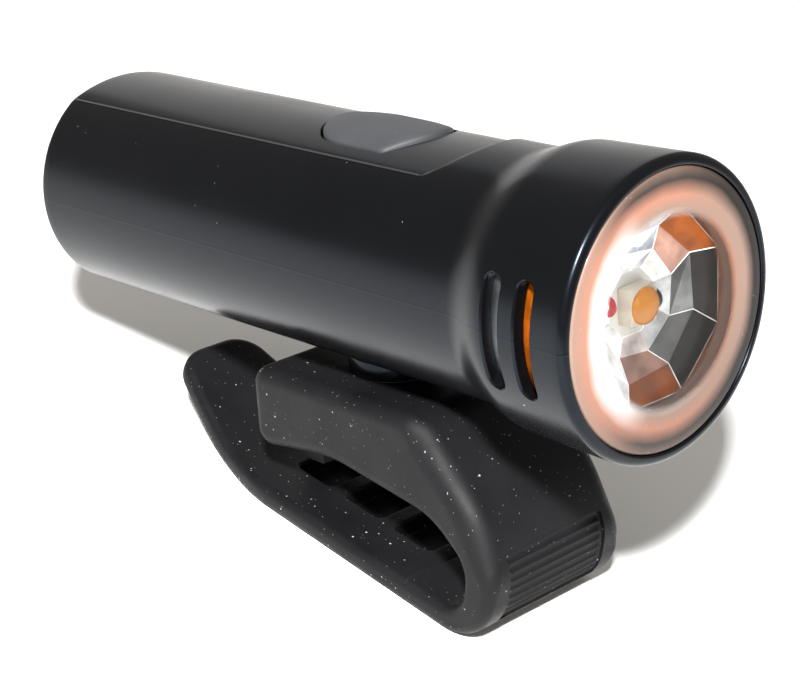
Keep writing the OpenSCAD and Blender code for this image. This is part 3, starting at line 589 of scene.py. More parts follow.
def body_plastic(finish, body):
    """Black polycarbonate, injection moulded in a finely sparked tool: a satin gloss that breaks up
    a little."""
    material, tree = blank("polycarbonate_black_satin_moulded")
    place = lamp_place(tree)
    dust = lint(tree, place, [(2.4, 0.2, 0.35, 0.4), (6.0, 0.3, 0.8, 0.9)], 0.04)
    base = cloudy_colour(tree, place, 16.0, shade(finish.body, 0.8), shade(finish.body, 1.25))
    mixed = add(tree, "ShaderNodeMix", {"data_type": "RGBA", 7: (*finish.dust, 1.0)}, {0: dust, 6: base})
    gloss = cloudy_value(tree, place, 16.0, 0.19, 0.27)
    dusty = add(tree, "ShaderNodeMath", {"operation": "MAXIMUM"}, {0: gloss, 1: dust}).outputs[0]
    # Sparked tool grain of about 0.1 mm, drawn at 0.3 mm so that it shows
    grain = add(tree, "ShaderNodeTexNoise", {"Scale": 1 / (0.3 * MM), "Detail": 3.0}, {"Vector": place})
    # The two halves of the mould meet on the lamp's middle plane and leave a fine raised line
    height = add(tree, "ShaderNodeSeparateXYZ", links={"Vector": place}).outputs["Z"]
    level = add(tree, "ShaderNodeMath", {"operation": "ABSOLUTE"}, {0: height}).outputs[0]
    seam = add(tree, "ShaderNodeMapRange", {"From Min": 0.04 * MM, "From Max": 0.14 * MM, "To Min": 1.0,
                                            "To Max": 0.0}, {"Value": level}).outputs["Result"]
    rise = add(tree, "ShaderNodeMath", {"operation": "MULTIPLY_ADD", 1: 0.25},
               {0: grain.outputs["Fac"], 2: seam})
    relief = add(tree, "ShaderNodeBump", {"Strength": 0.5, "Distance": 0.03 * MM},
                 {"Height": rise.outputs[0]})
    bead = add(tree, "ShaderNodeBump", {"Strength": 1.0, "Distance": 0.16 * MM},
               {"Height": crease(tree, place, body), "Normal": relief.outputs["Normal"]})
    # The cool specular tint paints a cool reflection onto the black
    shader = add(tree, "ShaderNodeBsdfPrincipled", {"IOR": 1.3, "Specular Tint": (*linear("#c9dcf5"), 1.0)},
                 {"Base Color": mixed.outputs[2], "Roughness": dusty, "Normal": bead.outputs["Normal"]})
    surface(tree, shader.outputs[0])
    return material


def silicone(name, finish, tone, grains, fibre_share, cloud_mm, drift, rough, grain_mm, ior):
    """Silicone rubber from a sparked mould: matt, with a colour that drifts, and lint and dust on it."""
    grain_depth_mm = 0.03
    material, tree = blank(name)
    place = lamp_place(tree)
    dust = lint(tree, place, grains, fibre_share)
    base = cloudy_colour(tree, place, cloud_mm, shade(tone, drift[0]), shade(tone, drift[1]))
    mixed = add(tree, "ShaderNodeMix", {"data_type": "RGBA", 7: (*finish.dust, 1.0)}, {0: dust, 6: base})
    shader = add(tree, "ShaderNodeBsdfPrincipled", {"IOR": ior},
                 {"Base Color": mixed.outputs[2], "Roughness": cloudy_value(tree, place, cloud_mm, *rough),
                  "Normal": grain_normal(tree, place, grain_mm, grain_depth_mm)})
    surface(tree, shader.outputs[0])
    return material


def strap_rubber(finish):
    """Black silicone rubber: a touch greyer where lint and dust cling to it."""
    return silicone("silicone_rubber_black_moulded", finish, finish.rubber,
                    grains=[(0.9, 0.18, 0.9, 0.35), (1.6, 0.26, 0.8, 0.7), (3.0, 0.36, 0.8, 1.0)],
                    fibre_share=0.4, cloud_mm=7.0, drift=(0.75, 1.3), rough=(0.5, 0.66),
                    grain_mm=0.35, ior=1.27)


def button_rubber(finish):
    """Grey silicone rubber with a soft skin: lighter than the body, with a fine even grain."""
    return silicone("silicone_rubber_grey_moulded", finish, finish.button,
                    grains=[(1.2, 0.2, 0.5, 0.4), (2.8, 0.3, 0.6, 0.9)],
                    fibre_share=0.1, cloud_mm=5.0, drift=(0.82, 1.18), rough=(0.5, 0.62),
                    grain_mm=0.28, ior=1.4)


def lens_plastic_painted_light(optics, finish):
    """Clear polycarbonate, polished in the middle and blasted matt round it: the matt band is painted with
    the amber ring's glow and the daylight behind it, painted light on the near side and painted shade at the
    far edge."""
    wander_mm = 0.4
    shade_depth = 15.0 * MM
    material, tree = blank("polycarbonate_frosted_painted_light_and_shade")
    place = lamp_place(tree)
    parts = add(tree, "ShaderNodeSeparateXYZ", links={"Vector": place}).outputs
    flat = add(tree, "ShaderNodeCombineXYZ", links={"Y": parts["Y"], "Z": parts["Z"]}).outputs[0]
    radius = add(tree, "ShaderNodeVectorMath", {"operation": "LENGTH"}, {0: flat}).outputs["Value"]
    side = add(tree, "ShaderNodeMath", {"operation": "DIVIDE"}, {0: parts["Y"], 1: radius}).outputs[0]
    # What shines through lies uneven behind the matt band, so its rings wander a little
    wander = cloudy_value(tree, place, 12.0, -wander_mm * MM, wander_mm * MM)
    bent = add(tree, "ShaderNodeMath", {"operation": "ADD"}, {0: radius, 1: wander}).outputs[0]
    # Painted light on the near side: it is seen past the amber ring, so its painted glow lies further out
    # there
    pale = ring_colours(tree, bent, [
        (optics.frost_r, finish.frost), (optics.haze_r, finish.frost),
        ((optics.glow_r + optics.gap_r) / 2, finish.glow), (optics.lens_r, finish.painted_band_shade)])
    # Painted tones of the middle: shaded frost, painted shade, the painted glow and a painted dark gap
    salmon = ring_colours(tree, bent, [
        (optics.frost_r, shade(finish.frost, 0.65)), (optics.haze_r, finish.painted_band_shade),
        (optics.glow_r, finish.glow), (optics.gap_r, finish.gap),
        (optics.lens_r, shade(finish.painted_band_shade, 0.5))])
    # Painted shade of the far side, from the amber ring at the inside to a painted dark gap at the rim
    far_painted_shade = ring_colours(tree, bent, [
        (optics.frost_r, finish.amber), (optics.haze_r, finish.painted_band_shade), (optics.glow_r, finish.painted_band_shade),
        (optics.gap_r, shade(finish.gap, 0.2)), (optics.lens_r, shade(finish.gap, 0.5))])
    # The side runs from -1 at the near edge to 1 at the far one
    near = add(tree, "ShaderNodeMapRange",
               {"interpolation_type": "SMOOTHSTEP", "From Min": -0.9, "From Max": -0.3},
               {"Value": side}).outputs["Result"]
    far = add(tree, "ShaderNodeMapRange",
              {"interpolation_type": "SMOOTHSTEP", "From Min": 0.05, "From Max": 0.8},
              {"Value": side}).outputs["Result"]
    inward = add(tree, "ShaderNodeMix", {"data_type": "RGBA"}, {0: near, 6: pale, 7: salmon}).outputs[2]
    ringed = add(tree, "ShaderNodeMix", {"data_type": "RGBA"}, {0: far, 6: inward, 7: far_painted_shade}).outputs[2]
    dust = lint(tree, place, [(1.3, 0.2, 0.5, 0.5), (3.0, 0.3, 0.6, 0.9)], 0.1)
    dusty = add(tree, "ShaderNodeMix", {"data_type": "RGBA", 7: (*finish.dust, 1.0)},
                {0: dust, 6: ringed}).outputs[2]
    # The lower half lies in the lamp's own shade
    height = add(tree, "ShaderNodeMapRange",
                 {"From Min": -shade_depth, "From Max": 0.0, "To Min": 0.7, "To Max": 1.0},
                 {"Value": parts["Z"]}).outputs["Result"]
    base = add(tree, "ShaderNodeVectorMath", {"operation": "SCALE"}, {0: dusty, "Scale": height}).outputs[0]
    # The frosted band's faint emission is a painted glow
    frosted = add(tree, "ShaderNodeBsdfPrincipled",
                  {"Coat Weight": 0.25, "Coat Roughness": 0.06, "IOR": 1.3, "Emission Strength": 0.05},
                  {"Base Color": base, "Emission Color": base,
                   "Roughness": cloudy_value(tree, place, 0.3, 0.4, 0.55),
                   "Normal": grain_normal(tree, place, 0.3, 0.02)})
    # Polycarbonate has an index of 1.585; drawn lower, the pale floor does not mirror over the reflector
    clear = add(tree, "ShaderNodeBsdfPrincipled",
                {"Base Color": (*linear("#fdfefe"), 1.0), "IOR": 1.2, "Transmission Weight": 1.0},
                {"Roughness": cloudy_value(tree, place, 3.0, 0.0, 0.03)})
    edge = add(tree, "ShaderNodeMapRange",
               {"interpolation_type": "SMOOTHSTEP", "From Min": optics.clear_r - 1.0 * MM,
                "From Max": optics.clear_r + 0.5 * MM}, {"Value": radius})
    mixed = add(tree, "ShaderNodeMixShader",
                links={0: edge.outputs["Result"], 1: clear.outputs[0], 2: frosted.outputs[0]})
    surface(tree, mixed.outputs[0])
    return material


def amber_plastic(finish):
    """Amber polycarbonate: translucent and glossy, so light soaks in; its faint glow from within is a painted
    glow.
    """
    material, tree = blank("polycarbonate_amber_moulded")
    place = lamp_place(tree)
    base = cloudy_colour(tree, place, 2.0, shade(finish.amber, 0.1), shade(finish.amber, 1.4))
    shader = add(tree, "ShaderNodeBsdfPrincipled",
                 {"IOR": 1.585, "Transmission Weight": 0.2, "Emission Strength": 0.16},
                 {"Base Color": base, "Emission Color": base,
                  "Roughness": cloudy_value(tree, place, 3.0, 0.08, 0.2)})
    surface(tree, shader.outputs[0])
    return material


def chrome_with_painted_reflections():
    """Aluminium steamed onto moulded plastic: mirror bright, each facet painted with a reflection of what it
    faces.
    """
    material, tree = blank("aluminium_metallised_painted_reflections")
    place = lamp_place(tree)
    facet = add(tree, "ShaderNodeAttribute", {"attribute_name": "facet"}).outputs["Color"]
    drift = cloudy_value(tree, place, 3.0, 0.5, 1.15)
    painted_reflection_tone = add(tree, "ShaderNodeVectorMath", {"operation": "SCALE"}, {0: facet, "Scale": drift}).outputs[0]
    # The facets' painted reflections also glow, as painted light
    shader = add(tree, "ShaderNodeBsdfPrincipled", {"Metallic": 1.0, "Emission Strength": 0.85},
                 {"Base Color": painted_reflection_tone, "Emission Color": painted_reflection_tone,
                  "Roughness": cloudy_value(tree, place, 2.0, 0.02, 0.07),
                  "Normal": grain_normal(tree, place, 1.6, 0.02)})
    surface(tree, shader.outputs[0])
    return material


def moulded(name, hex_colour, grain_mm, rough, metallic=0.0, depth_mm=0.01, **sockets):
    """A plain workshop finish with cloudy colour and a grain of its own size."""
    material, tree = blank(name)
    place = lamp_place(tree)
    tone = linear(hex_colour)
    cloud_mm = grain_mm * 12
    settings = {"Metallic": metallic}
    settings.update({key.replace("_", " "): value for key, value in sockets.items()})
    shader = add(tree, "ShaderNodeBsdfPrincipled", settings,
                 {"Base Color": cloudy_colour(tree, place, cloud_mm, shade(tone, 0.8), shade(tone, 1.15)),
                  "Roughness": cloudy_value(tree, place, cloud_mm, rough * 0.85, rough * 1.15),
                  "Normal": grain_normal(tree, place, grain_mm, depth_mm)})
    surface(tree, shader.outputs[0])
    return material


# Pieces

def button_outline(button, gap):
    """Plan of the button, grown by a gap: round at the rear, arched at the front."""
    half = button.half_w + gap
    rear_r, corner_r, tip_r = half * 0.99, 1.2 * MM, 7.0 * MM
    return rounded([(button.rear_x - gap, -half, rear_r), (button.front_x + gap, -half, corner_r),
                    (button.tip_x + gap, 0.0, tip_r), (button.front_x + gap, half, corner_r),
                    (button.rear_x - gap, half, rear_r)], 14)


def crown_middle(body):
    """Height above the axis of the middle of the circle that the deck's crown follows."""
    return body.tube_d / 2 - body.deck_drop - body.deck_crown_r


def deck_height(body, y):
    """Height of the deck's crown above the axis at a distance from the middle."""
    return crown_middle(body) + math.sqrt(body.deck_crown_r ** 2 - y * y)


class HEADLIGHT_OT_housing(bpy.types.Operator):
    """Turns the moulded shell, sinks its deck and cuts the button hole and the side slots"""
    bl_idname = "headlight.housing"
    bl_label = "Housing shell"

    turn_steps = 320
    foot_h = 2.6 * MM
    foot_edge = 0.25 * MM
    lens_lip = 0.25 * MM
    # Half width of the deck's arched front, and how far out from the middle the arch still grows
    arch_half_w = 9.3 * MM
    arch_limit = 9.6 * MM
    # Stations between which the rings take on the arch, and how far past the step they keep it
    arch_from = 58 * MM
    arch_full = 73 * MM
    arch_hold = 0.6 * MM
    # Angles from the top between which the arch fades out down the sides
    arch_fade = (math.radians(40), math.radians(75))
    # Length and height of the rounding at the foot and at the edge of the deck's step; rings further past
    # the step than the reach keep the tube's radius
    step_foot = 0.36 * MM
    step_lift = 0.12 * MM
    step_edge = 0.4 * MM
    step_dip = 0.14 * MM
    step_reach = 0.5 * MM
    # The deck's crown runs into the tube over this depth
    crown_blend = 0.12 * MM
    # What lies closer to the bore than this stays where it is
    bore_guard = 0.5 * MM

    def execute(self, context):
        body = context.scene.headlight_body
        button = context.scene.headlight_button
        shell = turned("housing_shell", self.profile(body), self.turn_steps)
        self.sink_deck(shell, body)
        rings = [[(x, y, button.under_z - 4 * MM) for x, y in button_outline(button, button.gap)]]
        # The hole widens over these heights above the deck, in millimetres, so that its edge is round
        for rise, gap in ((-0.3, 0.0), (-0.1, 0.06), (0.02, 0.2), (2.0, 0.35)):
            rings.append([(x, y, deck_height(body, y) + rise * MM)
                          for x, y in button_outline(button, button.gap + gap * MM)])
        carve(shell, ring_stack("button_hole", rings))
        for side in (-1, 1):
            for x in (body.slot_x, body.slot_x - body.slot_pitch):
                carve(shell, self.slot_cutter(body, x, side))
        deselect()
        bpy.ops.mesh.primitive_cylinder_add(
            vertices=96, radius=body.foot_r, depth=self.foot_h,
            location=(body.pivot_x, 0, -body.foot_z + self.foot_h / 2))
        foot = context.object
        bpy.ops.object.transform_apply(location=True, rotation=True, scale=True)
        apply_modifier(foot, "BEVEL", width=self.foot_edge, segments=3, limit_method="ANGLE")
        join(shell, [foot])
        smooth(shell, degrees=28)
        dress(shell, body_plastic(context.scene.headlight_finish, body), "lamp", ["housing"])
        return {"FINISHED"}

    def profile(self, body):
        """Closed profile: outside from the tail to the rim, then back through lens seat, cavity and bore."""
        tube_r, bore_r = body.tube_d / 2, body.bore_d / 2
        head_r, back_r = body.head_d / 2, body.head_back_d / 2
        points = [(0.0, bore_r), (0.0, (bore_r + tube_r - body.tail_round) / 2)]
        points += arc((body.tail_round, tube_r - body.tail_round), body.tail_round, 180, 90, 6)
        step = body.deck_len
        # Rings along the tube in millimetres, closer together towards the deck's step
        stations = [2 + 2.45 * i for i in range(25)] + [62.5, 64.5, 66.5, 68.5, 70.5, 72.5, 74, 75.2, 76.2]
        points += [(x * MM, tube_r) for x in stations]
        points += [(step + offset * MM, tube_r) for offset in (-0.7, -0.36, -0.2, -0.1, -0.04)]
        points += [(step + offset * MM, tube_r) for offset in (0.04, 0.1, 0.2, 0.4, 1.0, 2.2, 3.6, 5.0)]
        for i in range(19):
            share = i / 18
            flare_r = tube_r + (back_r - tube_r) * ease(share, 0, 1)
            points.append((body.neck_x + body.neck_len * share, flare_r))
        neck_end = body.neck_x + body.neck_len
        rim_x = body.body_len - body.rim_round
        for i in range(1, 12):
            share = i / 12
            points.append((neck_end + (rim_x - neck_end) * share, back_r + (head_r - back_r) * share))
        points += arc((rim_x, head_r - body.rim_round), body.rim_round, 90, 0, 8)
        seat_r, lip = body.lens_seat_r, self.lens_lip
        points += arc((body.body_len - lip, seat_r + lip), lip, 0, -90, 4)
        points += [(body.ledge_x, seat_r), (body.ledge_x, body.cavity_r), (body.cavity_x, body.cavity_r),
                   (body.cavity_x, bore_r)]
        return points

    def sink_deck(self, shell, body):
        """Lowers the outside behind the arched front step of the deck to the deck's flatter crown."""
        tube_r = body.tube_d / 2
        crown_z = crown_middle(body)
        arch_r = (self.arch_half_w ** 2 + body.deck_arch ** 2) / (2 * body.deck_arch)
        for vert in shell.data.vertices:
            x, y, z = vert.co
            radius = math.hypot(y, z)
            if radius < body.bore_d / 2 + self.bore_guard or z < 0 or x > body.neck_x:
                continue
            angle = math.atan2(y, z)
            crown = crown_z * math.cos(angle) + math.sqrt(
                body.deck_crown_r ** 2 - (crown_z * math.sin(angle)) ** 2)
            inset = tube_r - radius
            if x < body.deck_len:
                # The last rings before the step rise a little, so that its foot is rounded
                lift = self.step_lift * ease(x, body.deck_len - self.step_foot, body.deck_len)
                radius = soft_min(tube_r, crown + lift, self.crown_blend) - inset
            elif x < body.deck_len + self.step_reach:
                # The first rings past the step dip a little, so that its edge is rounded
                dip = self.step_dip * ease(body.deck_len + self.step_edge - x, 0, self.step_edge)
                radius = tube_r - dip * min(max((tube_r - crown) / body.deck_drop, 0.0), 1.0)
            across = min(abs(tube_r * math.sin(angle)), self.arch_limit)
            back = arch_r - math.sqrt(max(arch_r ** 2 - across ** 2, 0.0))
            back *= ease(x, self.arch_from, self.arch_full)
            back *= 1 - ease(x, body.deck_len + self.arch_hold, body.neck_x)
            back *= 1 - ease(abs(angle), *self.arch_fade)
            vert.co = (x - back, radius * math.sin(angle), radius * math.cos(angle))

    def slot_cutter(self, body, x, side):
        """A stadium through the head's wall that opens out at the surface, so the slot's edge is round."""
        rings = []
        half_w, half_h = body.slot_w / 2, body.slot_half_h
        head_r = body.head_d / 2
        neck_end = body.neck_x + body.neck_len
        # How far inside the head's surface a ring lies, and how much larger it is, in millimetres
        flare = ((4.5, 0.0), (0.5, 0.0), (0.3, 0.04), (0.14, 0.12), (0.04, 0.24), (-0.2, 0.5), (-8.0, 0.6))
        for inside, grow in flare:
            ring = []
            width, height = half_w + grow * MM, half_h + grow * MM
            flat = height - width
            ladder = [flat * (1 - i / 8) for i in range(1, 16)]
            outline = arc((0, flat), width, 0, 180, 14) + [(-width, up) for up in ladder]
            outline += arc((0, -flat), width, 180, 360, 14) + [(width, -up) for up in ladder]
            for across, up in outline:
                # Depths are counted from the head's own surface, whose radius grows a little to the rim
                share = (x + across - neck_end) / (body.body_len - neck_end)
                skin = body.head_back_d / 2 + (head_r - body.head_back_d / 2) * min(max(share, 0.0), 1.0)
                reach = math.sqrt(max((skin - inside * MM) ** 2 - up * up, 0.0))
                ring.append((x + across, side * reach, up))
            rings.append(ring)
        return ring_stack("slot_cutter", rings)


class HEADLIGHT_OT_button(bpy.types.Operator):
    """Moulds the soft button: a pillow with a faint thumb dish"""
    bl_idname = "headlight.button"
    bl_label = "Button"

    # Radii of the crown across and along the lamp
    crown_side_r = 12.8 * MM
    crown_long_r = 61 * MM
    dish_half_len = 5.2 * MM
    dish_half_w = 3.6 * MM
    # About how far the rounded tip lies behind the corner that it is rounded from
    tip_cut = 1.7 * MM
    rim_drop = 0.45 * MM

    def execute(self, context):
        body = context.scene.headlight_body
        button = context.scene.headlight_button
        top = body.tube_d / 2 - body.deck_drop + button.proud
        middle_x = (button.rear_x + button.tip_x - self.tip_cut) / 2
        outline = button_outline(button, 0.0)

        def crown(x, y):
            """Height of the button's top at a place of its plan."""
            sag = self.crown_side_r - math.sqrt(self.crown_side_r ** 2 - y * y)
            sag += self.crown_long_r - math.sqrt(self.crown_long_r ** 2 - (x - middle_x) ** 2)
            oval = ((x - middle_x) / self.dish_half_len) ** 2 + (y / self.dish_half_w) ** 2
            return top - sag - button.dish * math.exp(-oval)

        rings = [[(x, y, button.under_z) for x, y in outline],
                 [(x, y, crown(x, y) - self.rim_drop) for x, y in outline]]
        # Share of the plan and drop below the crown, in millimetres: the round rim, then the crown itself
        rim = [(0.995, 0.26), (0.982, 0.12), (0.962, 0.04)]
        inside = [(share, 0.0) for share in (0.93, 0.86, 0.76, 0.64, 0.5, 0.36, 0.22, 0.1, 0.02)]
        for share, drop in rim + inside:
            ring = []
            for x, y in outline:
                x_in, y_in = middle_x + (x - middle_x) * share, y * share
                ring.append((x_in, y_in, crown(x_in, y_in) - drop * MM))
            rings.append(ring)
        cap = ring_stack("button_cap", rings)
        smooth(cap, degrees=50)
        dress(cap, button_rubber(context.scene.headlight_finish), "button", ["button"])
        return {"FINISHED"}


class HEADLIGHT_OT_lens(bpy.types.Operator):
    """Turns the lens: one disc, polished in the middle and matt round it"""
    bl_idname = "headlight.lens"
    bl_label = "Lens"

    def execute(self, context):
        optics = context.scene.headlight_optics
        back, front, edge = optics.lens_back, optics.lens_front, 0.45 * MM
        rings = [optics.lens_r * share for share in (0.0, 0.2, 0.4, 0.55, 0.64, 0.72, 0.8, 0.88)]
        profile = [(back, radius) for radius in rings] + [(back, optics.lens_r)]
        profile += arc((front - edge, optics.lens_r - edge), edge, 90, 0, 8)
        profile += [(front, radius) for radius in reversed(rings)]
        disc = turned("lens_disc", profile, steps=192)
        smooth(disc, degrees=40)
        dress(disc, lens_plastic_painted_light(optics, context.scene.headlight_finish), "lamp", ["lens"])
        return {"FINISHED"}


class HEADLIGHT_OT_reflector(bpy.types.Operator):
    """Folds the faceted reflector bowl from three rows of flat petals"""
    bl_idname = "headlight.reflector"
    bl_label = "Reflector"

    # The bowl starts inside the hole's radius, at this share of it
    hole_share = 0.84
    # Rises of the rows' edges above the reflector's floor
    hole_rise = 0.25 * MM
    row_rise = 0.9 * MM
    mid_rise = 2.0 * MM
    wall = 0.5 * MM
    # Width of the folds between petals, and the angle in degrees from which two faces make a fold
    fold = 0.06 * MM
    fold_angle = 12
    # A face smaller than this belongs to a fold
    petal_area = 0.6 * MM * MM

    def execute(self, context):
        optics = context.scene.headlight_optics
        count = optics.petals

        def ring(x, radius, turn=0.5):
            """Corners of the petals at one station, turned by a share of a petal."""
            angles = [math.tau * (i + turn) / count for i in range(count)]
            return [(x, radius * math.sin(angle), radius * math.cos(angle)) for angle in angles]

        stretch = 1 / math.cos(math.pi / count)
        bowl = loop_of("reflector_bowl",
                       ring(optics.floor_x + self.hole_rise, optics.hole_r * self.hole_share))
        for x, radius, turn in ((optics.floor_x + self.row_rise, optics.row_r, 0.62),
                                (optics.floor_x + self.mid_rise, optics.mid_r, 0.4),
                                (optics.mouth_x, optics.mouth_r, 0.52)):
            bpy.ops.mesh.extrude_region_move()
            lay(bowl, ring(x, radius * stretch, turn))
        clean(bowl)
        apply_modifier(bowl, "SOLIDIFY", thickness=self.wall, offset=-1.0)
        apply_modifier(bowl, "BEVEL", width=self.fold, segments=2, limit_method="ANGLE",
                       angle_limit=math.radians(self.fold_angle))
        self.paint_facet_reflections(bowl, optics, context.scene.headlight_finish)
        dress(bowl, chrome_with_painted_reflections(), "lamp", ["reflector"])
        return {"FINISHED"}

    def paint_facet_reflections(self, bowl, optics, finish):
        """Paints onto each petal a reflection in the tone of what it mirrors, clockwise from the top; rows
        nearer the light source get a whiter painted highlight."""
        # Painted reflections: the key light's white, the sky, the amber ring and the dark room
        white = (1.0, 1.0, 1.0)
        ring = shade(finish.amber, 0.6)
        room = shade(finish.gap, 0.4)
        painted_mirror_tones = (finish.sky_painted_reflection, ring, room, room, ring, white, white, white)
        painted_highlight_share = (0.5, 0.12, 0.0)
        attribute = bowl.data.attributes.new("facet", "FLOAT_COLOR", "FACE")
        for face in bowl.data.polygons:
            radius = math.hypot(face.center.y, face.center.z)
            share = painted_highlight_share[(radius > optics.row_r) + (radius > optics.mid_r)]
            angle = math.atan2(face.center.y, face.center.z) / math.tau * optics.petals
            # The narrow folds between petals are painted white, a painted highlight
            tone = painted_mirror_tones[int(round(angle)) % len(painted_mirror_tones)] if face.area > self.petal_area else white
            attribute.data[face.index].color = (*(value + (1 - value) * share for value in tone), 1.0)


class HEADLIGHT_OT_light_source(bpy.types.Operator):
    """Builds the light source: a white ceramic package with a silicone dome over the phosphor"""
    bl_idname = "headlight.light_source"
    bl_label = "Light source"

    package_w = 4.6 * MM
    package_edge = 0.22 * MM

    def execute(self, context):
        optics = context.scene.headlight_optics
        floor_x, dome_r = optics.floor_x, optics.dome_r
        package = brick("led_package", (optics.package_h, self.package_w, self.package_w),
                        (floor_x + optics.package_h / 2, 0, 0), self.package_edge)
        smooth(package, degrees=40)
        ceramic = moulded("alumina_ceramic_pressed", "#d6ccba", 0.2, 0.5)
        dress(package, ceramic, "lamp", ["led_emitter"])
        base_x = floor_x + optics.package_h
        profile = [(base_x, 0.0), (base_x, dome_r)]
        profile += [(base_x + optics.dome_h * math.sin(math.radians(a)), dome_r * math.cos(math.radians(a)))
                    for a in range(8, 90, 8)] + [(base_x + optics.dome_h, 0.0)]
        dome = turned("led_dome", profile, steps=64)
        smooth(dome, degrees=60)
        # The dome's faint emission is a painted glow on the unlit phosphor
        gel = moulded("silicone_phosphor_cast", "#b8741f", 0.12, 0.16, IOR=1.41,
                      Emission_Color=(*linear("#c8700c"), 1.0), Emission_Strength=0.12)
        dress(dome, gel, "lamp", ["led_emitter"])
        return {"FINISHED"}


class HEADLIGHT_OT_strap(bpy.types.Operator):
    """Moulds the rubber strap: block and front wall, the bend, and the slotted band with its tab"""
    bl_idname = "headlight.strap"
    bl_label = "Strap"

    # Angle on the bend, in degrees, of the cut between block and bend
    cut_turn = -50.0
    # From the hinge to the cut between bend and band, and to the bend's rings before it
    band_start = 8.0 * MM
    bend_stations = (3 * MM, 4.5 * MM, 6 * MM)
    # An edge whose middle lies closer than this to the middle of a cut end stays sharp
    end_guard = 0.4 * MM
    # The inside of the loop lies off the bend's middle by this much to the rear and down
    loop_back = 0.9 * MM
    loop_drop = 0.7 * MM
    # Corner radii of the block's side view
    rear_round = 2.6 * MM
    top_round = 6 * MM
    shoulder_round = 20 * MM
    knee_round = 6.5 * MM
    cheek_round = 4 * MM
    brow_round = 12 * MM
    crown_round = 24 * MM
    sole_round = 2.7 * MM
    # Heights between which the wall's outer and inner edges grow from the band's radius to their own
    outer_fade = (-42 * MM, -30 * MM)
    inner_fade = (-37 * MM, -29 * MM)
    # The grip's recess: its spare width, its first station up the wall, the steps of its floor, and how far
    # its cutter stands out of the wall
    patch_margin = 0.2 * MM
    patch_first = 0.4 * MM
    patch_step = 0.35 * MM
    patch_steps = 30
    patch_over = 2 * MM
    groove_first = 1.17 * MM
    groove_count = 8
    # The band's slots: their number, their corner radius and the height of their cutter
    hole_count = 3
    hole_round = 1 * MM
    hole_over = 8 * MM
    # A slot's edge is rounded by this share of the band's edge radius
    hole_edge_share = 0.35
    curl_steps = 24

    def execute(self, context):
        strap = context.scene.headlight_strap
        rubber = strap_rubber(context.scene.headlight_finish)
        block = self.block(strap)
        dress(block, rubber, "mount", ["strap_base"])
        bend = self.bend(strap)
        dress(bend, rubber, None)
        middle = (strap.bend_x, -strap.bend_drop)
        reach = (strap.bend_r + strap.loop_r) / 2
        start = arc(middle, reach, self.cut_turn, self.cut_turn, 1)[0]
        end = self.on_band(self.band_start, 0.0)
        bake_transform(bend)
        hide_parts("strap_band")
        band = self.band(strap)
        dress(band, rubber, "band", ["strap_band"], Matrix.Translation(STRAP_HINGE))
        return {"FINISHED"}

    def on_band(self, along, above):
        """Point of the lamp's side view on the band, along it from the hinge and above the hinge's level."""
        x = ROLLED_END.x - along * math.cos(LEAN) + above * math.sin(LEAN)
        z = ROLLED_END.z + along * math.sin(LEAN) + above * math.cos(LEAN)
        return (x, z)

    def loop_middle(self, strap):
        """Middle of the loop's inside in the side view."""
        return (strap.bend_x - self.loop_back, -strap.bend_drop - self.loop_drop)

    def inner_turn(self, strap):
        """Angle on the loop's inside, in degrees, where the cut between block and bend meets it."""
        turn = math.radians(self.cut_turn)
        ray = Vector((math.cos(turn), math.sin(turn)))
        offset = Vector((-self.loop_back, -self.loop_drop))
        along = offset.dot(ray)
        reach = along + math.sqrt(strap.loop_r ** 2 - offset.length_squared + along * along)
        point = Vector((strap.bend_x, -strap.bend_drop)) + ray * reach
        loop = self.loop_middle(strap)
        return math.degrees(math.atan2(point.y - loop[1], point.x - loop[0]))

    def sides(self, strap, outline):
        """The outline of a side view on the strap's near side."""
        return [(x, -strap.width / 2, z) for x, z in outline]

    def block(self, strap):
        """Block and front wall in one: a side view given its width, with the grip sunk in its front."""
        top, bottom = -strap.block_top, -strap.block_top - strap.block_h
        rear, wall_x = strap.block_x, strap.block_x + strap.block_len
        middle = (strap.bend_x, -strap.bend_drop)
        front = strap.bend_x + strap.bend_r
        loop = self.loop_middle(strap)
        shoulder = (front - 2.2 * MM, middle[1] + 9 * MM)
        knee = (front + 0.4 * MM, middle[1] + 1.2 * MM)
        outer = arc(middle, strap.bend_r, -18, self.cut_turn, 16)
        inner = arc(loop, strap.loop_r, self.inner_turn(strap), -15, 12)
        cheek = (loop[0] + strap.loop_r + 0.6 * MM, loop[1] + 3 * MM)
        brow = (rear + 34 * MM, bottom - 1.2 * MM)
        crown = (rear + 14.5 * MM, bottom + 2 * MM)
        sole = (rear + 3 * MM, bottom + 0.3 * MM)
        outline = corner_arc((rear, bottom), (rear, top), (wall_x, top), self.rear_round)
        outline += corner_arc((rear, top), (wall_x, top), shoulder, self.top_round)
        wall = corner_arc((wall_x, top), shoulder, knee, self.shoulder_round)
        wall += corner_arc(shoulder, knee, outer[0], self.knee_round) + outer
        outline += wall + inner
        outline += corner_arc(inner[-1], cheek, brow, self.cheek_round)
        outline += corner_arc(cheek, brow, crown, self.brow_round)
        outline += corner_arc(brow, crown, sole, self.crown_round)
        outline += corner_arc(crown, (rear, bottom), (rear, top), self.sole_round)

        def radius_of(point, normal):
            """Edge radius at a point of the side view: larger on the front wall, less beside the loop."""
            radius = strap.block_edge + (strap.wall_edge - strap.block_edge) * ease(normal.x, 0.2, 0.8)
            # The wall is thin beside the loop, so both of its edges run out to the band's there
            share = ease(point.y, *(self.outer_fade if normal.x > 0.1 else self.inner_fade))
            return strap.band_edge + (radius - strap.band_edge) * share

        block = soft_plate("strap_block", outline, strap.width / 2, outline.index(outer[-1]), radius_of)
        self.grip(strap, block, wall)
        even_shading(block)
        return block

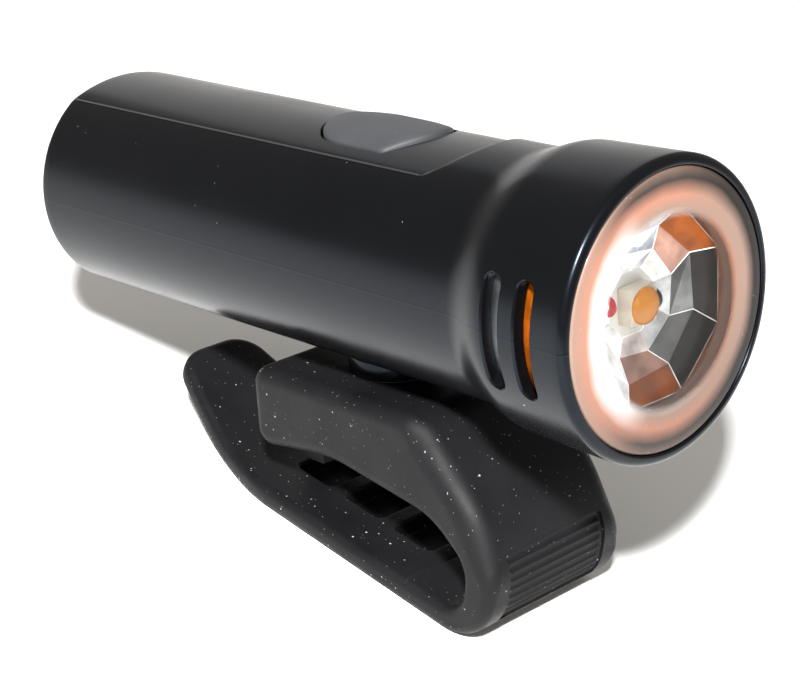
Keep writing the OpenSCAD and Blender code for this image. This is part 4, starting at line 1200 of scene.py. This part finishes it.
    def grip(self, strap, block, wall):
        """Sinks a patch in the front of the wall and rolls the grip grooves into its floor."""
        path = [Vector(point) for point in reversed(wall)]
        half = strap.groove_len / 2 + self.patch_margin
        reach = [self.patch_first + self.patch_step * i for i in range(self.patch_steps + 1)]
        spots = [self.along(path, at) for at in reach]
        outline = [spot - normal * strap.patch_deep for spot, normal in spots]
        outline += [spot + normal * self.patch_over for spot, normal in reversed(spots)]
        carve(block, plate("grip_patch", [(point.x, -half, point.y) for point in outline], (0, 2 * half, 0)))
        for i in range(self.groove_count):
            spot, normal = self.along(path, self.groove_first + strap.groove_pitch * i)
            centre = spot + normal * (strap.groove_r - strap.groove_deep - strap.patch_deep)
            carve(block, self.groove(strap, centre.x, centre.y))

    def along(self, path, distance):
        """Point and outward normal at a distance along a path of the side view that runs up the wall."""
        for first, last in zip(path, path[1:]):
            step = last - first
            if step.length > 1e-9 and distance <= step.length:
                heading = step.normalized()
                return first + heading * distance, Vector((heading.y, -heading.x))
            distance -= step.length
        raise RuntimeError("the path is too short")

    def groove(self, strap, x, z):
        """Round bar with round ends, across the strap."""
        half, radius = strap.groove_len / 2, strap.groove_r
        turns = [math.pi / 2 * i / 6 for i in range(7)]
        rings = [(-half + radius * (1 - math.cos(turn)), radius * max(math.sin(turn), 0.05))
                 for turn in turns]
        stations = rings + [(-y, r) for y, r in reversed(rings)]
        skins = [[(x + r * math.cos(a), y, z + r * math.sin(a))
                  for a in [math.tau * i / 20 for i in range(20)]] for y, r in stations]
        return ring_stack("groove", skins)

    def bend(self, strap):
        """The soft bend, from the cut at the wall round to the start of the band."""
        middle = (strap.bend_x, -strap.bend_drop)
        loop = self.loop_middle(strap)
        down = -90 - math.degrees(LEAN)
        above = strap.band_t - strap.band_under
        stations = [*self.bend_stations, self.band_start]
        outline = arc(middle, strap.bend_r, self.cut_turn, down, 14)
        outline += [self.on_band(along, -strap.band_under) for along in stations]
        outline += [self.on_band(along, above) for along in reversed(stations)]
        outline += arc(loop, strap.loop_r, down, self.inner_turn(strap), 12)
        bend = plate("strap_bend", self.sides(strap, outline), (0, strap.width, 0))
        ends = [Vector(outline[0]) / 2 + Vector(outline[-1]) / 2,
                Vector(self.on_band(self.band_start, above / 2 - strap.band_under / 2))]

        def weight(spot, normals):
            """Rounds the long edges and leaves the two cut ends sharp."""
            if max(abs(normal.y) for normal in normals) < 0.9 or abs(normals[0].dot(normals[1])) > 0.5:
                return 0.0
            flat = Vector((spot.x, spot.z))
            return 0.0 if min((flat - end).length for end in ends) < self.end_guard else 1.0

        round_edges(bend, strap.band_edge, 6, weight)
        even_shading(bend)
        return bend

    def band(self, strap):
        """The band is moulded flat, with its hinge at the origin, and its end is then curled up."""
        curl_mid = strap.curl_r - strap.band_t / 2
        curl_end = strap.band_len + curl_mid * strap.curl_angle
        end = curl_end + strap.pull_len
        half, tip = strap.width / 2, strap.pull_w / 2
        plan = rounded([(-self.band_start, -half, 0), (-self.band_start, half, 0),
                        (-strap.pull_start, half, strap.flank_round), (-end, tip, strap.pull_round),
                        (-end, -tip, strap.pull_round), (-strap.pull_start, -half, strap.flank_round)], 16)
        low = -strap.band_under
        band = plate("strap_band_tab", [(x, y, low) for x, y in plan], (0, 0, strap.band_t))
        for i in range(self.hole_count):
            middle = -(strap.hole_first + strap.hole_pitch * i)
            reach, side, corner = strap.hole_len / 2, strap.hole_w / 2, self.hole_round
            hole = rounded([(middle - reach, -side, corner), (middle + reach, -side, corner),
                            (middle + reach, side, corner), (middle - reach, side, corner)], 6)
            cutter = plate("band_slot", [(x, y, low + strap.web_t) for x, y in hole], (0, 0, self.hole_over))
            carve(band, cutter)

        def weight(spot, normals):
            """Rounds the outer edges fully and the slots' edges a little; the cut end stays sharp."""
            if abs(normals[0].dot(normals[1])) > 0.5 or max(abs(normal.z) for normal in normals) < 0.9:
                return 0.0
            if spot.x > -self.band_start - 0.1 * MM:
                return 0.0
            edge = abs(spot.y) > strap.hole_w / 2 + 0.2 * MM or spot.x < -strap.band_len
            return 1.0 if edge else self.hole_edge_share

        round_edges(band, strap.band_edge, 5, weight)
        take(band)
        bpy.ops.object.mode_set(mode="EDIT")
        for i in range(self.curl_steps + 1):
            bpy.ops.mesh.select_all(action="SELECT")
            along = strap.band_len + (curl_end - strap.band_len) * i / self.curl_steps
            bpy.ops.mesh.bisect(plane_co=(-along, 0, 0), plane_no=(1, 0, 0))
        bpy.ops.object.mode_set(mode="OBJECT")
        for vert in band.data.vertices:
            x, y, z = vert.co
            if -x > strap.band_len:
                turn = min((-x - strap.band_len) / curl_mid, strap.curl_angle)
                rest = max(-x - curl_end, 0.0)
                radius = strap.curl_r - (z - low)
                vert.co = (-strap.band_len - radius * math.sin(turn) - rest * math.cos(strap.curl_angle), y,
                           low + strap.curl_r - radius * math.cos(turn) + rest * math.sin(strap.curl_angle))
        even_shading(band)
        return band


class HEADLIGHT_OT_flap(bpy.types.Operator):
    """Moulds the soft charging flap: a tongue with round corners, a rolled hinge edge and a plug"""
    bl_idname = "headlight.flap"
    bl_label = "Charging flap"

    def execute(self, context):
        flap = context.scene.headlight_flap
        half, low = flap.width / 2, -flap.hinge_drop
        high, outside = low + flap.height, flap.hinge_x - flap.thickness / 2
        outline = rounded([(-half, low, 0), (half, low, 0),
                           (half, high, flap.corner_r), (-half, high, flap.corner_r)])
        tongue = plate("port_flap", [(outside, y, z) for y, z in outline], (flap.thickness, 0, 0))

        def weight(spot, normals):
            """Rounds the edges of both faces, but not at the hinge."""
            outer = max(abs(normal.x) for normal in normals) > 0.9 and abs(normals[0].dot(normals[1])) < 0.5
            return 1.0 if outer and spot.z > low + flap.edge_r else 0.0

        round_edges(tongue, flap.edge_r, 4, weight)
        deselect()
        bpy.ops.mesh.primitive_cylinder_add(vertices=48, radius=flap.thickness / 2, depth=flap.width,
                                            location=(flap.hinge_x, 0, low), rotation=(math.pi / 2, 0, 0))
        roll = context.object
        bpy.ops.object.transform_apply(location=True, rotation=True, scale=True)
        plug_len = flap.thickness / 2 + flap.plug_t
        plug = brick("flap_plug", (plug_len, flap.plug_w, flap.plug_h),
                     (flap.hinge_x + plug_len / 2, 0, 0), flap.edge_r)
        join(tongue, [roll, plug])
        even_shading(tongue)
        rubber = bpy.data.materials["silicone_rubber_black_moulded"]
        dress(tongue, rubber, "flap", ["port_cover"])
        return {"FINISHED"}


class HEADLIGHT_OT_inside(bpy.types.Operator):
    """Gives the carried-over solids their finishes"""
    bl_idname = "headlight.inside"
    bl_label = "Inside and tail"

    def execute(self, context):
        finish = context.scene.headlight_finish
        shell = bpy.data.materials["polycarbonate_black_satin_moulded"]
        steel = moulded("steel_zinc_plated_turned", "#8f9397", 0.15, 0.3, 1.0)
        nickel = moulded("nickel_strip_rolled", "#cfd0cd", 0.2, 0.28, 1.0)
        green = moulded("solder_mask_green_cured", "#1d6b3a", 0.3, 0.35)
        nylon = moulded("nylon_natural_moulded", "#ddd8c8", 0.3, 0.5)
        black = moulded("nylon_black_moulded", "#2b2c2f", 0.3, 0.5)
        finishes = {
            "tail_cap": shell, "tail_seal": moulded("silicone_red_moulded", "#8a2a20", 0.3, 0.45),
            "amber_ring": amber_plastic(finish),
            "lens_seal": moulded("silicone_grey_cut", "#2a2a2c", 0.3, 0.6),
            "led_board": moulded("solder_mask_white_cured", "#f2f1ea", 0.4, 0.4),
            "board_screws": steel, "tail_screws": steel, "pivot_screw": steel, "wave_washer": steel,
            "led_lead_red": moulded("pvc_wire_red_extruded", "#b8202c", 0.3, 0.4),
            "led_lead_black": moulded("pvc_wire_black_extruded", "#1c1c1e", 0.3, 0.4),
            "heat_sink": moulded("aluminium_turned", "#b9bdc1", 0.25, 0.35, 1.0),
            "driver_board": green, "charge_board": green, "tact_switch": black, "mount_core": black,
            "switch_plunger": moulded("acetal_white_moulded", "#e8e6dd", 0.3, 0.4),
            "status_led": moulded("epoxy_clear_cast", "#dfe9d8", 0.3, 0.2),
            "battery_cell": moulded("pvc_sleeve_blue_shrunk", "#3f7fb5", 0.5, 0.3),
            "cell_tab_front": nickel, "cell_tab_rear": nickel, "charge_port": nickel,
            "cell_holder_front": nylon, "cell_holder_rear": nylon, "friction_washer": nylon,
            "board_link": moulded("polyimide_film_amber", "#b9731d", 0.4, 0.3),
            "threaded_insert": moulded("brass_turned", "#c9a24a", 0.2, 0.3, 1.0),
        }
        for name, material in finishes.items():
            node = frame["nodes"][name]
            node.data.materials.clear()
            node.data.materials.append(material)
        return {"FINISHED"}


class HEADLIGHT_OT_stage(bpy.types.Operator):
    """Lays the pale floor, hangs the soft lights and sets the camera"""
    bl_idname = "headlight.stage"
    bl_label = "Stage"

    floor_size = 6.0
    # The view that was fitted to the photograph: angles in degrees, places and lengths in millimetres
    azimuth = 44.52
    elevation = 27.87
    roll = 4.868
    target = (9.462, -1.569, 29.316)
    distance = 268.05
    focal_length = 91.465
    sensor_width = 36.0
    # What the lights look at, in metres, and the world's strength
    aim = (0, 0, 0.03)
    world_strength = 0.42

    def execute(self, context):
        deselect()
        bpy.ops.mesh.primitive_plane_add(size=self.floor_size, location=(0, 0, 0))
        floor = context.object
        floor.name = "floor"
        paper, tree = blank("paper_white_matt")
        place = add(tree, "ShaderNodeTexCoord").outputs["Object"]
        white = context.scene.headlight_finish.floor
        base = cloudy_colour(tree, place, 0.8, shade(white, 0.985), white)
        shader = add(tree, "ShaderNodeBsdfPrincipled", {"Roughness": 0.8, "Specular IOR Level": 0.2},
                     {"Base Color": base})
        surface(tree, shader.outputs[0])
        floor.data.materials.append(paper)
        self.light(context, "key_light", (0.242, -0.274, 0.385), 0.04, 7.8)
        self.light(context, "back_card", (-0.75, 0.6, 0.32), 0.7, 1.0)
        world = bpy.data.worlds.new("pale_room")
        world.use_nodes = True
        backdrop = world.node_tree.nodes["Background"]
        backdrop.inputs["Color"].default_value = (*linear("#f6f1ea"), 1.0)
        backdrop.inputs["Strength"].default_value = self.world_strength
        context.scene.world = world
        context.scene.view_settings.view_transform = "Standard"
        self.camera(context)
        return {"FINISHED"}

    def light(self, context, name, place, size, power):
        """A soft square light that looks at the lamp's middle."""
        bpy.ops.object.light_add(type="AREA", location=place)
        lamp = context.object
        lamp.name = name
        lamp.data.size = size
        lamp.data.energy = power
        lamp.rotation_euler = (Vector(self.aim) - Vector(place)).to_track_quat("-Z", "Y").to_euler()

    def camera(self, context):
        """The photograph's view: a short telephoto from the front and the -Y side, tipped a little."""
        azimuth, elevation = math.radians(self.azimuth), math.radians(self.elevation)
        roll = math.radians(self.roll)
        target = Vector(self.target) * MM
        away = Vector((math.sin(azimuth) * math.cos(elevation), -math.cos(azimuth) * math.cos(elevation),
                       math.sin(elevation)))
        level = Vector((math.cos(azimuth), math.sin(azimuth), 0.0))
        upright = away.cross(level)
        right = level * math.cos(roll) + upright * math.sin(roll)
        up = away.cross(right)
        bpy.ops.object.camera_add(location=target + away * self.distance * MM)
        camera = context.object
        camera.rotation_euler = Matrix((right, up, away)).transposed().to_euler()
        camera.data.lens = self.focal_length
        camera.data.sensor_width = self.sensor_width
        camera.data.clip_start = 0.01
        context.scene.camera = camera


class HEADLIGHT_PT_panel(bpy.types.Panel):
    """Lists the sizes, the finishes and the steps"""
    bl_label = "Bike headlight"
    bl_idname = "HEADLIGHT_PT_panel"
    bl_space_type = "VIEW_3D"
    bl_region_type = "UI"
    bl_category = "Headlight"

    def draw(self, context):
        for group in GROUPS:
            settings = getattr(context.scene, f"headlight_{group}")
            box = self.layout.box()
            for name in settings.__annotations__:
                box.prop(settings, name)
        for step in STEPS:
            self.layout.operator(step.bl_idname)


GROUPS = {"body": HeadlightBody, "button": HeadlightButton, "optics": HeadlightOptics,
          "strap": HeadlightStrap, "flap": HeadlightFlap, "finish": HeadlightFinish}
STEPS = [HEADLIGHT_OT_housing, HEADLIGHT_OT_button, HEADLIGHT_OT_lens, HEADLIGHT_OT_reflector,
         HEADLIGHT_OT_light_source, HEADLIGHT_OT_strap, HEADLIGHT_OT_flap, HEADLIGHT_OT_inside,
         HEADLIGHT_OT_stage]
CLASSES = [*GROUPS.values(), *STEPS, HEADLIGHT_PT_panel]


def register():
    """Adds the sizes, the steps and the panel to Blender."""
    for cls in CLASSES:
        bpy.utils.register_class(cls)
    for name, group in GROUPS.items():
        setattr(bpy.types.Scene, f"headlight_{name}", PointerProperty(type=group))


def unregister():
    """Takes the panel, the steps and the sizes out again."""
    for name in GROUPS:
        delattr(bpy.types.Scene, f"headlight_{name}")
    for cls in reversed(CLASSES):
        bpy.utils.unregister_class(cls)


def main():
    """Builds the lamp and its stage."""
    register()
    bpy.ops.headlight.housing()
    bpy.ops.headlight.button()
    bpy.ops.headlight.lens()
    bpy.ops.headlight.reflector()
    bpy.ops.headlight.light_source()
    bpy.ops.headlight.strap()
    bpy.ops.headlight.flap()
    bpy.ops.headlight.inside()
    bpy.ops.headlight.stage()


if __name__ == "__main__":
    main()
